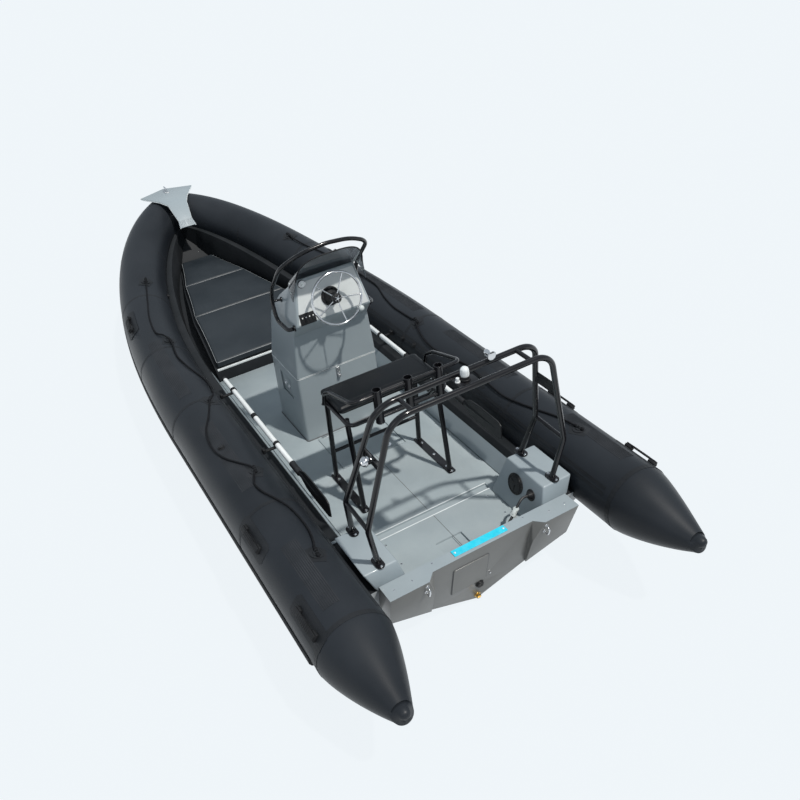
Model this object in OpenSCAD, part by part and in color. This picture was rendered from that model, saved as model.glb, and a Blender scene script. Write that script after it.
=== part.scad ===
// Rigid-hull inflatable boat with a centre helm console, seat post and stern arch.
// X points to the bow from the top aft edge of the transom, Y to port, Z up from the waterline.

/* [Collar] */
// Radius of the inflatable side tubes
tube_r = 211; // [185:1:235]
// Radius of the tubes where they meet at the bow
tube_bow_r = 195; // [170:1:211]
// Half the distance between the two side tubes' centre lines
tube_y = 898; // [860:1:960]
// Height of the side tubes' centre line above the water
tube_z = 335; // [320:1:360]
// Rise of the tube centre line at the bow
tube_rise = 307; // [240:1:360]
// Length of the straight side tubes ahead of the transom
tube_straight = 2131; // [1900:1:2600]
// Length of the curved bow tubes along the boat
bow_len = 3260; // [2800:1:3700]
// Length of the pointed stern cones
cone_len = 500; // [420:1:560]
// Overhang of the side tubes behind the transom
tube_overhang = 154; // [120:1:200]

/* [Hull] */
// Depth of the keel below the water at the stern
keel_depth = 181; // [150:1:240]
// Half breadth of the hull at the stern chine
chine_y = 598; // [560:1:610]
// Height of the stern chine
chine_z = 71; // [40:1:90]
// Height of the cockpit deck
deck_z = 150; // [140:1:165]
// Half breadth of the cockpit deck
deck_y = 551; // [520:1:560]
// Height of the transom's top
transom_z = 330; // [310:1:350]
// Half breadth of the transom's top
transom_y = 616; // [600:1:625]
// Thickness of the transom at the engine mount
transom_t = 73; // [60:1:76]

/* [Console] */
// Distance from the transom to the console's aft face
console_x = 1740; // [1700:1:1800]
// Length of the console base
console_len = 462; // [420:1:500]
// Half width of the console base
console_y = 304; // [270:1:330]
// Height of the seam between console base and console top
console_seam_z = 655; // [600:1:700]
// Wall thickness of the console mouldings
console_wall = 8; // [6:1:12]
// Diameter of the steering wheel over the rim
wheel_d = 345; // [300:1:380]

/* [Seat and arch] */
// Outer diameter of the frame tubes
frame_d = 32; // [28:1:38]
// Half distance between the seat's legs
seat_y = 314; // [290:1:330]
// Height of the seat cushion's top
seat_top_z = 868; // [820:1:900]
// Inner diameter of the rod holders
rod_d = 42; // [38:1:44]
// Height of the arch's bars
arch_z = 1375; // [1300:1:1450]
// Half distance between the arch's feet
arch_y = 573; // [560:1:590]

/* [Hidden] */

// Clearance between pieces that are seated on each other
seat_gap = 0.3;
// Slope of the hull sides' aft plane, forward shift per unit of depth
side_rake = 0.3175;
// Slope of the engine mounting face, which is steeper than the side rake
engine_rake = 0.217;
// Forward shift of the transom's centre top edge
engine_x = 50;

// ---- vectors and sweeps ----
function unit(v) = v / norm(v);
function lerp(a, b, t) = a + (b - a) * t;
function flip(p) = [p[0], -p[1], p[2]];
function tangent(p, i) = unit(p[min(i + 1, len(p) - 1)] - p[max(i - 1, 0)]);
// A reference direction that no route is parallel to for long
function side_of(t) = abs(t[2]) > 0.95 ? unit(cross([1, 0, 0], t)) : unit(cross([0, 0, 1], t));
function frame_at(p, i, u) =
    let (t = tangent(p, i), v = unit(u - t * (u * t)))
    [t, v, cross(t, v)];
// Normals carried along the route so that rings never twist
function carried(p, i = 0, u = undef, out = []) =
    i == len(p) ? out :
    let (f = frame_at(p, i, is_undef(u) ? side_of(tangent(p, 0)) : u))
    carried(p, i + 1, f[1], concat(out, [f]));
// Rings of n points around route p, with radius r (a number or one value for each point)
function rings_on(p, r, n, frames) = [
    for (i = [0:len(p) - 1])
        [for (k = [0:n - 1])
            let (a = 360 * k / n, q = is_list(r) ? r[i] : r)
            p[i] + frames[i][1] * q * cos(a) + frames[i][2] * q * sin(a)]
];
// Closed tube along route p
module sweep(p, r, n = 12) {
    loft(rings_on(p, r, n, carried(p)));
}
// Route through corner points c, each corner rounded by radius r with m points
function corner_arc(a, b, c, r, m) =
    let (
        u = unit(a - b),
        v = unit(c - b),
        half = acos(u * v) / 2,
        cut = min(r / tan(half), 0.45 * norm(a - b), 0.45 * norm(c - b)),
        rr = cut * tan(half),
        mid = b + unit(u + v) * rr / sin(half),
        e = unit(b + u * cut - mid),
        w = unit((b + v * cut - mid) - e * ((b + v * cut - mid) * e)),
        turn = 180 - 2 * half
    )
    [for (k = [0:m]) mid + rr * (e * cos(turn * k / m) + w * sin(turn * k / m))];
function rounded(c, r, m = 5) = concat(
    [c[0]],
    [for (i = [1:len(c) - 2]) each corner_arc(c[i - 1], c[i], c[i + 1], r, m)],
    [c[len(c) - 1]]
);
// Smooth curve through points by Catmull-Rom, m points to a span
function smooth_at(a, b, c, d, t) =
    0.5 * ((2 * b) + (c - a) * t + (2 * a - 5 * b + 4 * c - d) * t * t + (3 * b - a - 3 * c + d) * t * t * t);
function smoothed(c, m) = concat(
    [
        for (i = [0:len(c) - 2]) for (k = [0:m - 1])
            smooth_at(c[max(i - 1, 0)], c[i], c[i + 1], c[min(i + 2, len(c) - 1)], k / m)
    ],
    [c[len(c) - 1]]
);
// Straight round bar from a to b
module bar(a, b, r) {
    d = b - a;
    translate(a)
        rotate([0, acos(d[2] / norm(d)), atan2(d[1], d[0])])
            cylinder(h = norm(d), r = r, $fn = 32);
}
// Closed solid through rings of equal point count; a loop joins the last ring to the first,
// and twin rings, which are symmetric about the boat's middle, get matching triangles on both sides.
// ends lists the end faces' corners when the ring is too hollow for one face
module loft(rings, loop = false, twin = false, ends = []) {
    n = len(rings[0]);
    m = len(rings);
    points = [for (q = rings) each q];
    sides = [
        for (i = [0:m - (loop ? 1 : 2)]) for (k = [0:n - 1])
            let (a = i * n, b = (i + 1) % m * n, j = (k + 1) % n)
            each twin && k >= n / 2 ?
                [[a + k, b + k, b + j], [a + k, b + j, a + j]] :
                [[a + k, b + k, a + j], [a + j, b + k, b + j]]
    ];
    cap_a = len(ends) > 0 ? ends : [[for (k = [0:n - 1]) k]];
    cap_b = [for (c = cap_a) [for (k = [len(c) - 1:-1:0]) (m - 1) * n + c[k]]];
    polyhedron(points, loop ? sides : concat(sides, cap_a, cap_b), convexity = 8);
}
// Solid between a lower and an upper outline
module slab(low, high) {
    loft([low, high]);
}
module both_sides() {
    children();
    mirror([0, 1, 0]) children();
}

// ---- collar centre line ----
bow_pull = 0.7225;   // share of the bow length that the first handle reaches
bow_turn = 32;       // angle of the bow joint from athwartships
bow_handle = 378;    // length of the handle at the bow joint
bow_join_y = 56;     // half breadth of the centre lines at the bow joint
rise_start = 674;    // length of the curved part before the rise begins
rise_power = 2.309;
bow_x = tube_straight + bow_len;
// Distance from the transom at share s of the bow's length
function bow_at(s) = tube_straight + s * bow_len;
function bezier(a, b, c, d, t) =
    a * pow(1 - t, 3) + b * 3 * t * pow(1 - t, 2) + c * 3 * t * t * (1 - t) + d * pow(t, 3);
function bow_plan(t) = bezier(
    [tube_straight, tube_y],
    [tube_straight + bow_pull * bow_len, tube_y],
    [bow_x - bow_handle * sin(bow_turn), bow_join_y + bow_handle * cos(bow_turn)],
    [bow_x, bow_join_y],
    t
);
function rise_at(x) =
    tube_rise * pow(max(x - tube_straight - rise_start, 0) / (bow_len - rise_start), rise_power);
function bow_centre(t) =
    let (q = bow_plan(t))
    [q[0], q[1], tube_z + rise_at(q[0])];
function bow_radius(t) = lerp(tube_r, tube_bow_r, t);
// Inboard normal of the centre line in plan
function bow_normal(t) =
    let (d = bow_plan(min(t + 0.005, 1)) - bow_plan(max(t - 0.005, 0)), l = norm(d))
    [d[1] / l, -d[0] / l, 0];
// Point on the collar at share t of the bow, angle a below the inboard side, lifted by g
function bow_skin(t, a, g = 0) =
    bow_centre(t) + (bow_radius(t) + g) * (bow_normal(t) * cos(a) - [0, 0, 1] * sin(a));
function side_skin(x, a, g = 0) =
    [x, tube_y - (tube_r + g) * cos(a), tube_z - (tube_r + g) * sin(a)];
// Point on either part of the collar: w below 0 counts millimetres aft of the bow part
function skin(w, a, g = 0) = w < 0 ? side_skin(tube_straight + w, a, g) : bow_skin(w, a, g);

// ---- hull ----
stem_t = 0.965;      // share of the bow where the hull's flange meets the stem
flange_low = 40;     // angle of the flange's lower edge on the tube
flange_high = 10;    // angle of the flange's upper edge on the tube
flange_w = 64;       // width of the flange's top
keel_run = 3000;     // length of the straight keel
keel_power = 8;
stem = bow_skin(stem_t, flange_low, 1);
stem_z = stem[2] - 30;
function keel_z(x) =
    -keel_depth + (stem_z + keel_depth) * pow(max(x - keel_run, 0) / (stem[0] - keel_run), keel_power);
chine_share = chine_y / (tube_y - (tube_r + 1) * cos(flange_low));
chine_drop = tube_z - (tube_r + 1) * sin(flange_low) - chine_z;
liner_t = 20;
liner_gap = 0.4;
shell_t = 16;        // least thickness of the hull outside the floor's edge
// The inner floor climbs under the bow seat
fore_floor = [
    [bow_at(0.5733), deck_z - liner_t], [bow_at(0.6929), 190], [bow_at(0.8617), 254], [bow_at(0.9552), 500]
];
function floor_z(x) = x < fore_floor[0][0] ? deck_z - liner_t : max(lookup(x, fore_floor), keel_z(x) + 70);
function transom_front(z) = engine_x + transom_t + side_rake * max(transom_z - z, 0);
function raked(p) = [max(p[0], transom_front(p[2]) + liner_gap), p[1], p[2]];
flange_angles = [flange_low, 34, 28, 22, 16, flange_high];
// Half breadth of the V between keel k and chine c at height z
function vee_half(k, c, z) = c[1] * max(min((z - k[2]) / max(c[2] - k[2], 1), 1), 0);
function hull_ring(w) =
    let (
        f = skin(w, flange_low, 1),
        u = skin(w, flange_high, 1),
        x = f[0],
        fade = max(1 - max(w, 0) * 0.55, 0),
        c = [
            x, f[1] * lerp(chine_share, 0.95, max(w, 0)),
            f[2] - chine_drop * (1 - 0.85 * pow(max(w, 0) / stem_t, 4))
        ],
        k = [x, 0, keel_z(x)],
        top = [u[0], u[1] - flange_w * fade, u[2]],
        floor_h = min(floor_z(x), top[2] - 4),
        edge = [x, max(min(deck_y, top[1] - 30 * fade, vee_half(k, c, floor_h) - shell_t), 4), floor_h]
    )
    concat([k, c], [for (a = flange_angles) skin(w, a, 1)], [top, edge, [x, 0, floor_h]]);
function full_ring(h) = concat(
    h,
    [for (i = [len(h) - 2:-1:1]) flip(h[i])]
);
hull_stations = concat(
    [-tube_straight + 124, -1700, -1200, -600],
    [for (i = [0:19]) stem_t * i / 20]
);
module rigid_hull() {
    color("#8f979a")
    loft([for (w = hull_stations) [for (p = full_ring(hull_ring(w))) raked(p)]], twin = true);
}

// ---- deck and inner sides ----
side_end_t = 0.80;    // share of the bow where the inner sides end
side_join = 10;       // width of the inner sides' foot on the deck
function side_ring(w) =
    let (
        h = hull_ring(w),
        n = len(h),
        g = [0, -1.5, 0.7],
        flange = h[n - 4] + 2 * g - [0, 0, 0.7],
        inner = h[n - 3] + g,
        edge = h[n - 2] + [0, 0, liner_gap]
    )
    [
        flange + [0, 0, 7], inner + [0, -7, 7], edge + [0, -side_join, liner_t],
        edge - [0, 2, 0], inner, flange
    ];
side_start = 580;     // the inner sides begin ahead of the stern boxes
side_stations = concat(
    [side_start - tube_straight],
    [for (w = hull_stations) if (w > side_start + 20 - tube_straight && w < side_end_t) w]
);
module inner_sides() {
    color("#8e989d")
    both_sides() loft([
        for (w = side_stations) [for (p = side_ring(w)) raked(p) + [seat_gap, 0, 0]]
    ], twin = true, ends = [[0, 1, 4, 5], [1, 2, 3, 4]]);
}
gutter_x = 600;
gutter_len = 50;
gutter_y = 420;
sump_x = 262;
sump_size = [120, 176];
sump_y = 30;
deck_x = transom_front(deck_z - liner_t) + 1;
deck_edge = deck_y - side_join - 3;
module deck() {
    color("#a4adb1")
    difference() {
        translate([deck_x, -deck_edge, deck_z - liner_t + liner_gap])
            cube([locker_x - deck_x - seat_gap, 2 * deck_edge, liner_t]);
        translate([gutter_x, -gutter_y, deck_z - 12]) cube([gutter_len, 2 * gutter_y, 40]);
        translate([sump_x, sump_y - sump_size[1] / 2, deck_z - 14]) cube([sump_size[0], sump_size[1], 60]);
        hatch_block(hatch_gap, 8, 60);
    }
}

// ---- deck hatch ----
hatch_x = 1330;
hatch_len = 392;
hatch_y = 235;
hatch_t = 7;
hatch_gap = 4;
module hatch_block(grow, depth, tall) {
    translate([hatch_x - grow, -hatch_y - grow, deck_z - depth])
        cube([hatch_len + 2 * grow, 2 * (hatch_y + grow), tall]);
}
module deck_hatch() {
    color("#a9b2b5")
    hatch_block(0, 8 - seat_gap, hatch_t);
}

// ---- transom ----
lip_y = 379;          // half breadth where the overhanging top lip begins
lip_in_y = 327;       // half breadth of the engine cut-back
module transom_outline() {
    polygon([
        [0, -keel_depth], [chine_y, chine_z], [transom_y, transom_z],
        [-transom_y, transom_z], [-chine_y, chine_z]
    ]);
}
// Prism along the boat with the transom's outline
module transom_prism() {
    rotate([90, 0, 90]) linear_extrude(400) transom_outline();
}
module side_profile(points, half) {
    translate([0, half, 0]) rotate([90, 0, 0]) linear_extrude(2 * half) polygon(points);
}
drop = transom_z + keel_depth;
module transom() {
    color("#6f6d69")
    difference() {
        intersection() {
            transom_prism();
            union() {
                side_profile([
                    [engine_x, transom_z], [engine_x + transom_t, transom_z],
                    [engine_x + transom_t + side_rake * drop, -keel_depth],
                    [engine_x + engine_rake * drop, -keel_depth]
                ], transom_y);
                both_sides()
                    intersection() {
                        side_profile([
                            [0, transom_z], [engine_x + 5, transom_z],
                            [engine_x + 5 + engine_rake * drop, -keel_depth],
                            [side_rake * drop, -keel_depth]
                        ], transom_y);
                        linear_extrude(2 * drop, center = true)
                            polygon([
                                [0, lip_y], [engine_x + 2, lip_in_y], [300, lip_in_y],
                                [300, transom_y + 1], [0, transom_y + 1]
                            ]);
                    }
            }
        }
        on_engine_face(0, drain_z)
            translate([0, 0, -200]) cylinder(h = 400, r = drain_r, $fn = 48);
        on_engine_face(outlet_at[0], outlet_at[1])
            translate([0, 0, -outlet_pocket]) cylinder(h = 100, r = outlet_r + 0.5, $fn = 64);
    }
}
drain_r = 13;
drain_z = -keel_depth + 38;

// ---- pieces on the transom ----
function engine_face(z) = engine_x + engine_rake * (transom_z - z);
module on_engine_face(y, z) {
    translate([engine_face(z), y, z]) rotate([0, -90 - atan(engine_rake), 0]) children();
}
pad_len = 350;
pad_w = 48;
outlet_at = [-4, -32];
outlet_r = 27;
outlet_pocket = 3;    // depth of the round seat that the outlet sits in
module engine_pad() {
    color("#00b6d4")
    translate([engine_x + 20, -pad_len / 2, transom_z + seat_gap]) cube([pad_w, pad_len, 6]);
}
module bilge_outlet() {
    color("#1b1c1e")
    on_engine_face(outlet_at[0], outlet_at[1])
        translate([0, 0, seat_gap - outlet_pocket]) difference() {
            cylinder(h = 16, r = outlet_r, $fn = 64);
            translate([0, 0, 5]) cylinder(h = 20, r = 19, $fn = 48);
        }
}
module drain_plug() {
    color("#b98f3e")
    on_engine_face(0, drain_z) {
        translate([0, 0, -30]) cylinder(h = 40, r = drain_r - seat_gap, $fn = 48);
        translate([0, 0, 10]) cylinder(h = 10, r = 17, $fn = 6);
    }
}
eye_z = 268;
eye_y = 392;
module transom_eyes() {
    color("#c9ccce")
    for (s = [-1, 1])
        translate([side_rake * (transom_z - eye_z) - seat_gap, s * eye_y, eye_z]) {
            rotate([0, -90 - atan(side_rake), 0]) {
                translate([-32, 0, 0]) cylinder(h = 5, r = 11, $fn = 32);
                translate([32, 0, 0]) cylinder(h = 5, r = 11, $fn = 32);
            }
            rotate([0, -atan(side_rake), 0])
                sweep(rounded([[0, 0, 32], [-38, 0, 32], [-38, 0, -32], [0, 0, -32]], 26, 6), 5, 12);
        }
}

// ---- boxes beside the stern, under the arch's feet ----
box_z = 430;
box_in = [410, 480];
box_out = [558.8, 682];
box_high = 147;
box_fwd = [575, 492];
function box_y(pair, z) = lerp(pair[0], pair[1], (z - deck_z) / (box_z - deck_z));
function box_points(pair) = [
    for (q = [
        [transom_front(deck_z) + 0.8, deck_z + 0.6], [transom_front(transom_z) + 0.8, transom_z], [box_high, box_z],
        [box_fwd[1], box_z], [box_fwd[0], deck_z + 0.6]
    ])
        [q[0], box_y(pair, q[1]), q[1]]
];
module aft_side_boxes() {
    color("#98a2a7")
    both_sides() slab(box_points(box_out), box_points(box_in));
}
box_slope = atan2(box_in[1] - box_in[0], box_z - deck_z);
function box_face(x, z) = [x, -box_y(box_in, z), z];
module on_box(x, z) {
    translate(box_face(x, z)) rotate([box_slope - 90, 0, 0]) children();
}
module inspection_cover() {
    color("#17181a")
    on_box(372, 318) translate([0, 0, seat_gap]) {
        cylinder(h = 5, r = 68, $fn = 64);
        cylinder(h = 9, r = 52, $fn = 64);
    }
}
module rigging_boot() {
    color("#17181a")
    on_box(228, 330) translate([0, 0, seat_gap]) {
        cylinder(h = 6, r = 36, $fn = 48);
        cylinder(h = 24, r1 = 27, r2 = 20, $fn = 48);
    }
}

// ---- engine rigging cable, a free cord with a connector on it ----
cable_r = 8;
cable_route = [
    [228, -430.8, 336], [228, -407, 340], [225, -385, 338], [219, -362, 325], [212, -340, 305],
    [205, -318, 285], [199, -296, 266], [194, -274, 247], [190, -252, 227], [188, -230, 208],
    [188, -208, 190], [190, -186, 174], [196, -163, 163], [204, -141, 159.3], [215, -120, 159.3],
    [228, -100, 159.3], [237, -79, 159.3], [240, -57, 159.3], [236, -36, 159.3]
];
connector_i = 4;
module engine_cable() {
    color("#1a1b1d")
    sweep(smoothed(cable_route, 2), cable_r, 10);
}
module cable_connector() {
    color("#c3c8c8")
    difference() {
        sweep([for (i = [0:2]) cable_route[connector_i + i]], 15, 8);
        sweep(smoothed([for (i = [connector_i - 1:connector_i + 3]) cable_route[i]], 2), cable_r + 0.8, 10);
    }
    color("#1a1b1d")
    bar([236, -35.6, 159.3], [224, 4, 159.3], 8.6);
}

// ---- collar pieces ----
module side_tube() {
    translate([-tube_overhang, tube_y, tube_z])
        rotate([0, 90, 0]) cylinder(h = tube_straight + tube_overhang, r = tube_r, $fn = 96);
}
module side_tube_port() {
    color("#24282d") side_tube();
}
module side_tube_starboard() {
    color("#24282d") mirror([0, 1, 0]) side_tube();
}
bow_sides = 32;
bow_stations = concat([for (i = [0:20]) stem_t * i / 20], [1]);
function bow_ring(t, g) = [for (k = [0:bow_sides - 1]) bow_skin(t, 360 * k / bow_sides, g)];
function bow_end_ring(g) = [for (p = bow_ring(1, g)) p + 260 * [sin(bow_turn), -cos(bow_turn), 0]];
module bow_tube(g = 0) {
    intersection() {
        loft(concat([for (w = bow_stations) bow_ring(w, g)], [bow_end_ring(g)]));
        translate([tube_straight + seat_gap, seat_gap / 2 - g, 0]) cube([bow_len + 600, 1400, 1400]);
    }
}
module bow_tube_port() {
    color("#24282d") bow_tube();
}
module bow_tube_starboard() {
    color("#24282d") mirror([0, 1, 0]) bow_tube();
}
cone_rise = 42;
cone_tip_r = 34;
cone_steps = 10;
function cone_ring(s) =
    let (
        t = s / cone_steps,
        x = -tube_overhang - seat_gap - cone_len * sin(90 * t),
        r = lerp(tube_r, cone_tip_r, pow(sin(90 * t), 1.3)) * (s == cone_steps ? 0.55 : 1)
    )
    [for (k = [0:bow_sides - 1])
        [x, tube_y + r * cos(360 * k / bow_sides), tube_z + cone_rise * pow(t, 2) + r * sin(360 * k / bow_sides)]];
module stern_cones() {
    color("#24282d")
    both_sides() loft([for (s = [cone_steps:-1:0]) cone_ring(s)]);
}

// ---- pieces fastened to the collar ----
function skin_normal(w, a) = unit(skin(w, a, 10) - skin(w, a));
module on_skin(w, a, g = seat_gap) {
    n = skin_normal(w, a);
    translate(skin(w, a, g)) rotate([0, acos(n[2]), atan2(n[1], n[0])]) children();
}
// The same seat, but turned so that X runs along the tube
module along_skin(w, a, g = seat_gap) {
    n = skin_normal(w, a);
    t = unit(skin(w + (w < 0 ? 5 : 0.003), a) - skin(w, a));
    e = unit(t - n * (t * n));
    f = cross(n, e);
    q = skin(w, a, g);
    multmatrix([
        [e[0], f[0], n[0], q[0]], [e[1], f[1], n[1], q[1]], [e[2], f[2], n[2], q[2]], [0, 0, 0, 1]
    ]) children();
}
strake_a = 163;
strake_w = 9;
strake_t = 14;
strake_stations = concat([-2190, -1400, -700, -40], [for (i = [0:20]) stem_t * i / 20]);
function strake_ring(w) = [
    for (q = [[-1, 2.6], [-0.6, strake_t], [0, strake_t + 3], [0.6, strake_t], [1, 2.6], [0, 0.7]])
        skin(w, strake_a + q[0] * strake_w, q[1])
];
module rubbing_strakes() {
    color("#1b1d20")
    both_sides() loft([for (w = strake_stations) strake_ring(w)]);
}
// Lifeline routes: place along the collar, angle on the tube, lift of the rope's middle
rope_r = 6;
lift = rope_r + 3;
patch_t = 6;
patch_lift = patch_t + rope_r + 0.9;
patch_w = [0.37, 0.151, -40, -960, -1800];
patch_g = [4, 1.4, seat_gap, seat_gap, seat_gap];
patch_a_port = [-74, -69, -66, -77, -75];
patch_a_starboard = [-82, -88, -71, -57, -88];
line_port = [
    [0.37, -74, patch_lift + 6.6], [0.345, -75, patch_lift + 6.6], [0.289, -80, lift], [0.23, -88, lift],
    [0.18, -88, lift], [0.165, -76, patch_lift + 1.5], [0.151, -69, patch_lift + 1.5], [0.135, -68, patch_lift + 1.5],
    [0.10, -71, lift], [0.069, -61, lift], [0.045, -42, lift], [0.015, -46, lift],
    [0.002, -57, patch_lift], [-40, -66, patch_lift], [-82, -70, patch_lift], [-250, -87, lift],
    [-403, -106, lift], [-576, -113, lift], [-729, -106, lift], [-840, -92, lift],
    [-915, -80, patch_lift], [-960, -77, patch_lift], [-1005, -82, patch_lift], [-1080, -90, lift],
    [-1170, -88, lift], [-1285, -76, lift], [-1399, -65, lift], [-1572, -62, lift],
    [-1700, -68, lift], [-1752, -73, patch_lift], [-1800, -75, patch_lift]
];
line_starboard = [
    [0.37, -82, patch_lift + 6.6], [0.345, -79, patch_lift + 6.6], [0.302, -82, lift], [0.264, -88, lift],
    [0.21, -91, lift], [0.165, -89, patch_lift + 1.5], [0.151, -88, patch_lift + 1.5], [0.137, -89, patch_lift + 1.5],
    [0.10, -87, lift], [0.069, -74, lift], [0.04, -67, lift], [0.013, -68, lift],
    [0.002, -69, patch_lift], [-40, -71, patch_lift], [-82, -64, patch_lift], [-231, -52, lift],
    [-384, -48, lift], [-556, -52, lift], [-760, -60, lift], [-915, -58, patch_lift],
    [-960, -57, patch_lift], [-1005, -57, patch_lift], [-1189, -55, lift], [-1323, -60, lift],
    [-1457, -68, lift], [-1629, -81, lift], [-1752, -86, patch_lift], [-1800, -88, patch_lift]
];
function line_route(q) = [for (p = q) skin(p[0], p[1], p[2])];
module lifelines() {
    color("#15171a") sweep(smoothed(line_route(line_port), 2), rope_r, 8);
    color("#15171a") mirror([0, 1, 0]) sweep(smoothed(line_route(line_starboard), 2), rope_r, 8);
}
module patch() {
    cylinder(h = patch_t, r = 38, $fn = 40);
}
module lifeline_patches() {
    color("#1b1d20") {
        for (i = [0:len(patch_w) - 1]) {
            on_skin(patch_w[i], patch_a_port[i], patch_g[i]) patch();
            mirror([0, 1, 0]) on_skin(patch_w[i], patch_a_starboard[i], patch_g[i]) patch();
        }
    }
}
handle_w = [0.245, -1419, -2128];
handle_a = [-134, -141, -141];
handle_g = [4, seat_gap, seat_gap];
handle_len = 230;
handle_wide = 44;
module handle() {
    for (s = [-1, 1])
        translate([s * (handle_len / 2 - 22) - 22, -handle_wide / 2, 0]) cube([44, handle_wide, 16]);
    translate([-handle_len / 2, -handle_wide / 2 + 6, 16]) cube([handle_len, handle_wide - 12, 12]);
}
module carry_handles() {
    color("#1b1d20")
    both_sides() for (i = [0:len(handle_w) - 1]) along_skin(handle_w[i], handle_a[i], handle_g[i]) handle();
}

// ---- oars ----
oar_y = 597;
oar_z = 430;
oar_r = 17;
oar_from = 1240;
oar_to = 2450;
blade_len = 540;
module oar_shafts() {
    color("#dfe3e4")
    both_sides() bar([oar_from, oar_y, oar_z], [oar_to, oar_y, oar_z], oar_r);
}
module oar_blade() {
    translate([oar_from - seat_gap, oar_y, oar_z]) rotate([0, -90, 0]) {
        cylinder(h = 120, r = 21, $fn = 40);
        translate([0, 0, 110]) rotate([90, 0, 0])
            linear_extrude(9, center = true)
                polygon([
                    [-20, 0], [20, 0], [64, 90], [72, 200], [68, blade_len - 150], [50, blade_len - 116],
                    [-50, blade_len - 116], [-68, blade_len - 150], [-72, 200], [-64, 90]
                ]);
    }
}
module oar_blades() {
    color("#1b1d20") both_sides() oar_blade();
}
clip_x = [1480, 2260];
module oar_clips() {
    color("#1b1d20")
    both_sides() for (x = clip_x) {
        y_out = tube_y - sqrt(pow(tube_r, 2) - pow(oar_z - 26 - tube_z, 2)) - 0.5;
        difference() {
            translate([x - 20, oar_y - 8, oar_z - 26]) cube([40, y_out - oar_y + 8, 52]);
            translate([x - 30, oar_y, oar_z]) rotate([0, 90, 0]) cylinder(h = 60, r = oar_r + seat_gap, $fn = 48);
        }
    }
}

// ---- bow ----
plate_t = 8;
plate_z = 845.7;
// Rows of the plate: distance from the bow joint, half breadth, height
plate_rows = [
    [-469, 77, 663], [-404, 65, 716], [-261, 92, 833], [-141, 140, plate_z], [94, 263, plate_z], [205, 8, plate_z]
];
module bow_plate() {
    color("#a4adb1")
    loft([
        for (q = plate_rows)
            let (x = bow_x + q[0])
            [[x, -q[1], q[2]], [x, q[1], q[2]], [x, q[1], q[2] - plate_t], [x, -q[1], q[2] - plate_t]]
    ]);
}
module bow_cleat() {
    color("#cfd2d4")
    translate([bow_x + 99, 0, plate_z + seat_gap]) {
        translate([-45, -22, 0]) cube([90, 44, 5]);
        for (x = [-22, 22]) translate([x, 0, 5]) cylinder(h = 26, r = 7, $fn = 24);
        translate([-48, 0, 36]) rotate([0, 90, 0]) cylinder(h = 96, r = 8, $fn = 24);
    }
}
module bow_eye() {
    color("#c9ccce")
    translate([stem[0] - 290, 0, keel_z(stem[0] - 290) - 0.5])
        rotate([0, 38, 0])
            sweep(rounded([[-30, 0, 0], [-30, 0, -42], [30, 0, -42], [30, 0, 0]], 26, 6), 6, 12);
}
locker_x = bow_at(0.2313);
locker_z = 260;
cushion_x = [bow_at(0.2359), bow_at(0.4966), bow_at(0.6929), bow_at(0.8586)];
cushion_y = [520, 410, 285, 152];
cushion_z = 320;
cushion_gap = 3;
locker_side = 26;
function cushion_half(x) = lookup(x, [for (i = [0:3]) [cushion_x[i], cushion_y[i]]]);
// Share of the bow at distance x
function bow_share(x) = lookup(x, [for (i = [0:48]) let (w = stem_t * i / 48) [skin(w, flange_low, 1)[0], w]]);
function locker_ring(x) =
    let (
        h = hull_ring(bow_share(x)),
        edge = h[len(h) - 2],
        top = h[len(h) - 3],
        wall = lerp(edge[1], top[1], (locker_z - edge[2]) / (top[2] - edge[2])),
        y = cushion_half(x) + locker_side,
        low = min(y, edge[1]) - side_join - 4,
        high = min(y, wall - side_join - 4),
        z = edge[2] + 7
    )
    [[x, -low, z], [x, low, z], [x, high, locker_z], [x, -high, locker_z]];
locker_shares = [0.2313, 0.3586, 0.4966, 0.604, 0.6929, 0.7451, 0.788, 0.8187, 0.8433, 0.8592];
module bow_locker() {
    color("#9aa3a7")
    loft([for (s = locker_shares) locker_ring(bow_at(s))], twin = true);
}
module bow_cushion(i) {
    a = cushion_x[i] + (i == 0 ? 0 : cushion_gap / 2);
    b = cushion_x[i + 1] - cushion_gap / 2;
    color("#2c3238")
    translate([0, 0, locker_z + seat_gap]) linear_extrude(cushion_z - locker_z)
        polygon([
            [a, -cushion_half(a)], [b, -cushion_half(b)], [b, cushion_half(b)], [a, cushion_half(a)]
        ]);
}
module bow_cushion_rear() { bow_cushion(0); }
module bow_cushion_middle() { bow_cushion(1); }
module bow_cushion_front() { bow_cushion(2); }

// ---- console base ----
base_top_in = 8;      // inward lean of the console base's walls at the seam
base_x = [console_x, console_x + console_len];
module tapered_box(low, high, z0, z1, y0, y1) {
    slab(
        [[low[0], -y0, z0], [low[1], -y0, z0], [low[1], y0, z0], [low[0], y0, z0]],
        [[high[0], -y1, z1], [high[1], -y1, z1], [high[1], y1, z1], [high[0], y1, z1]]
    );
}
module console_base() {
    w = console_wall;
    base_z = deck_z + liner_gap + seat_gap;
    color("#959ea2")
    difference() {
        tapered_box(
            base_x, [base_x[0] - base_top_in, base_x[1] - 26],
            base_z, console_seam_z, console_y, console_y - base_top_in
        );
        tapered_box(
            base_x + [w, -w], [base_x[0] - base_top_in + w, base_x[1] - 26 - w],
            base_z - 1, console_seam_z + 1, console_y - w, console_y - base_top_in - w
        );
        translate([panel_x, 0, panel_z]) cube([panel_w, 400, panel_h]);
    }
}
panel_x = 1870;
panel_z = 432;
panel_w = 176;
panel_h = 158;
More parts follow.
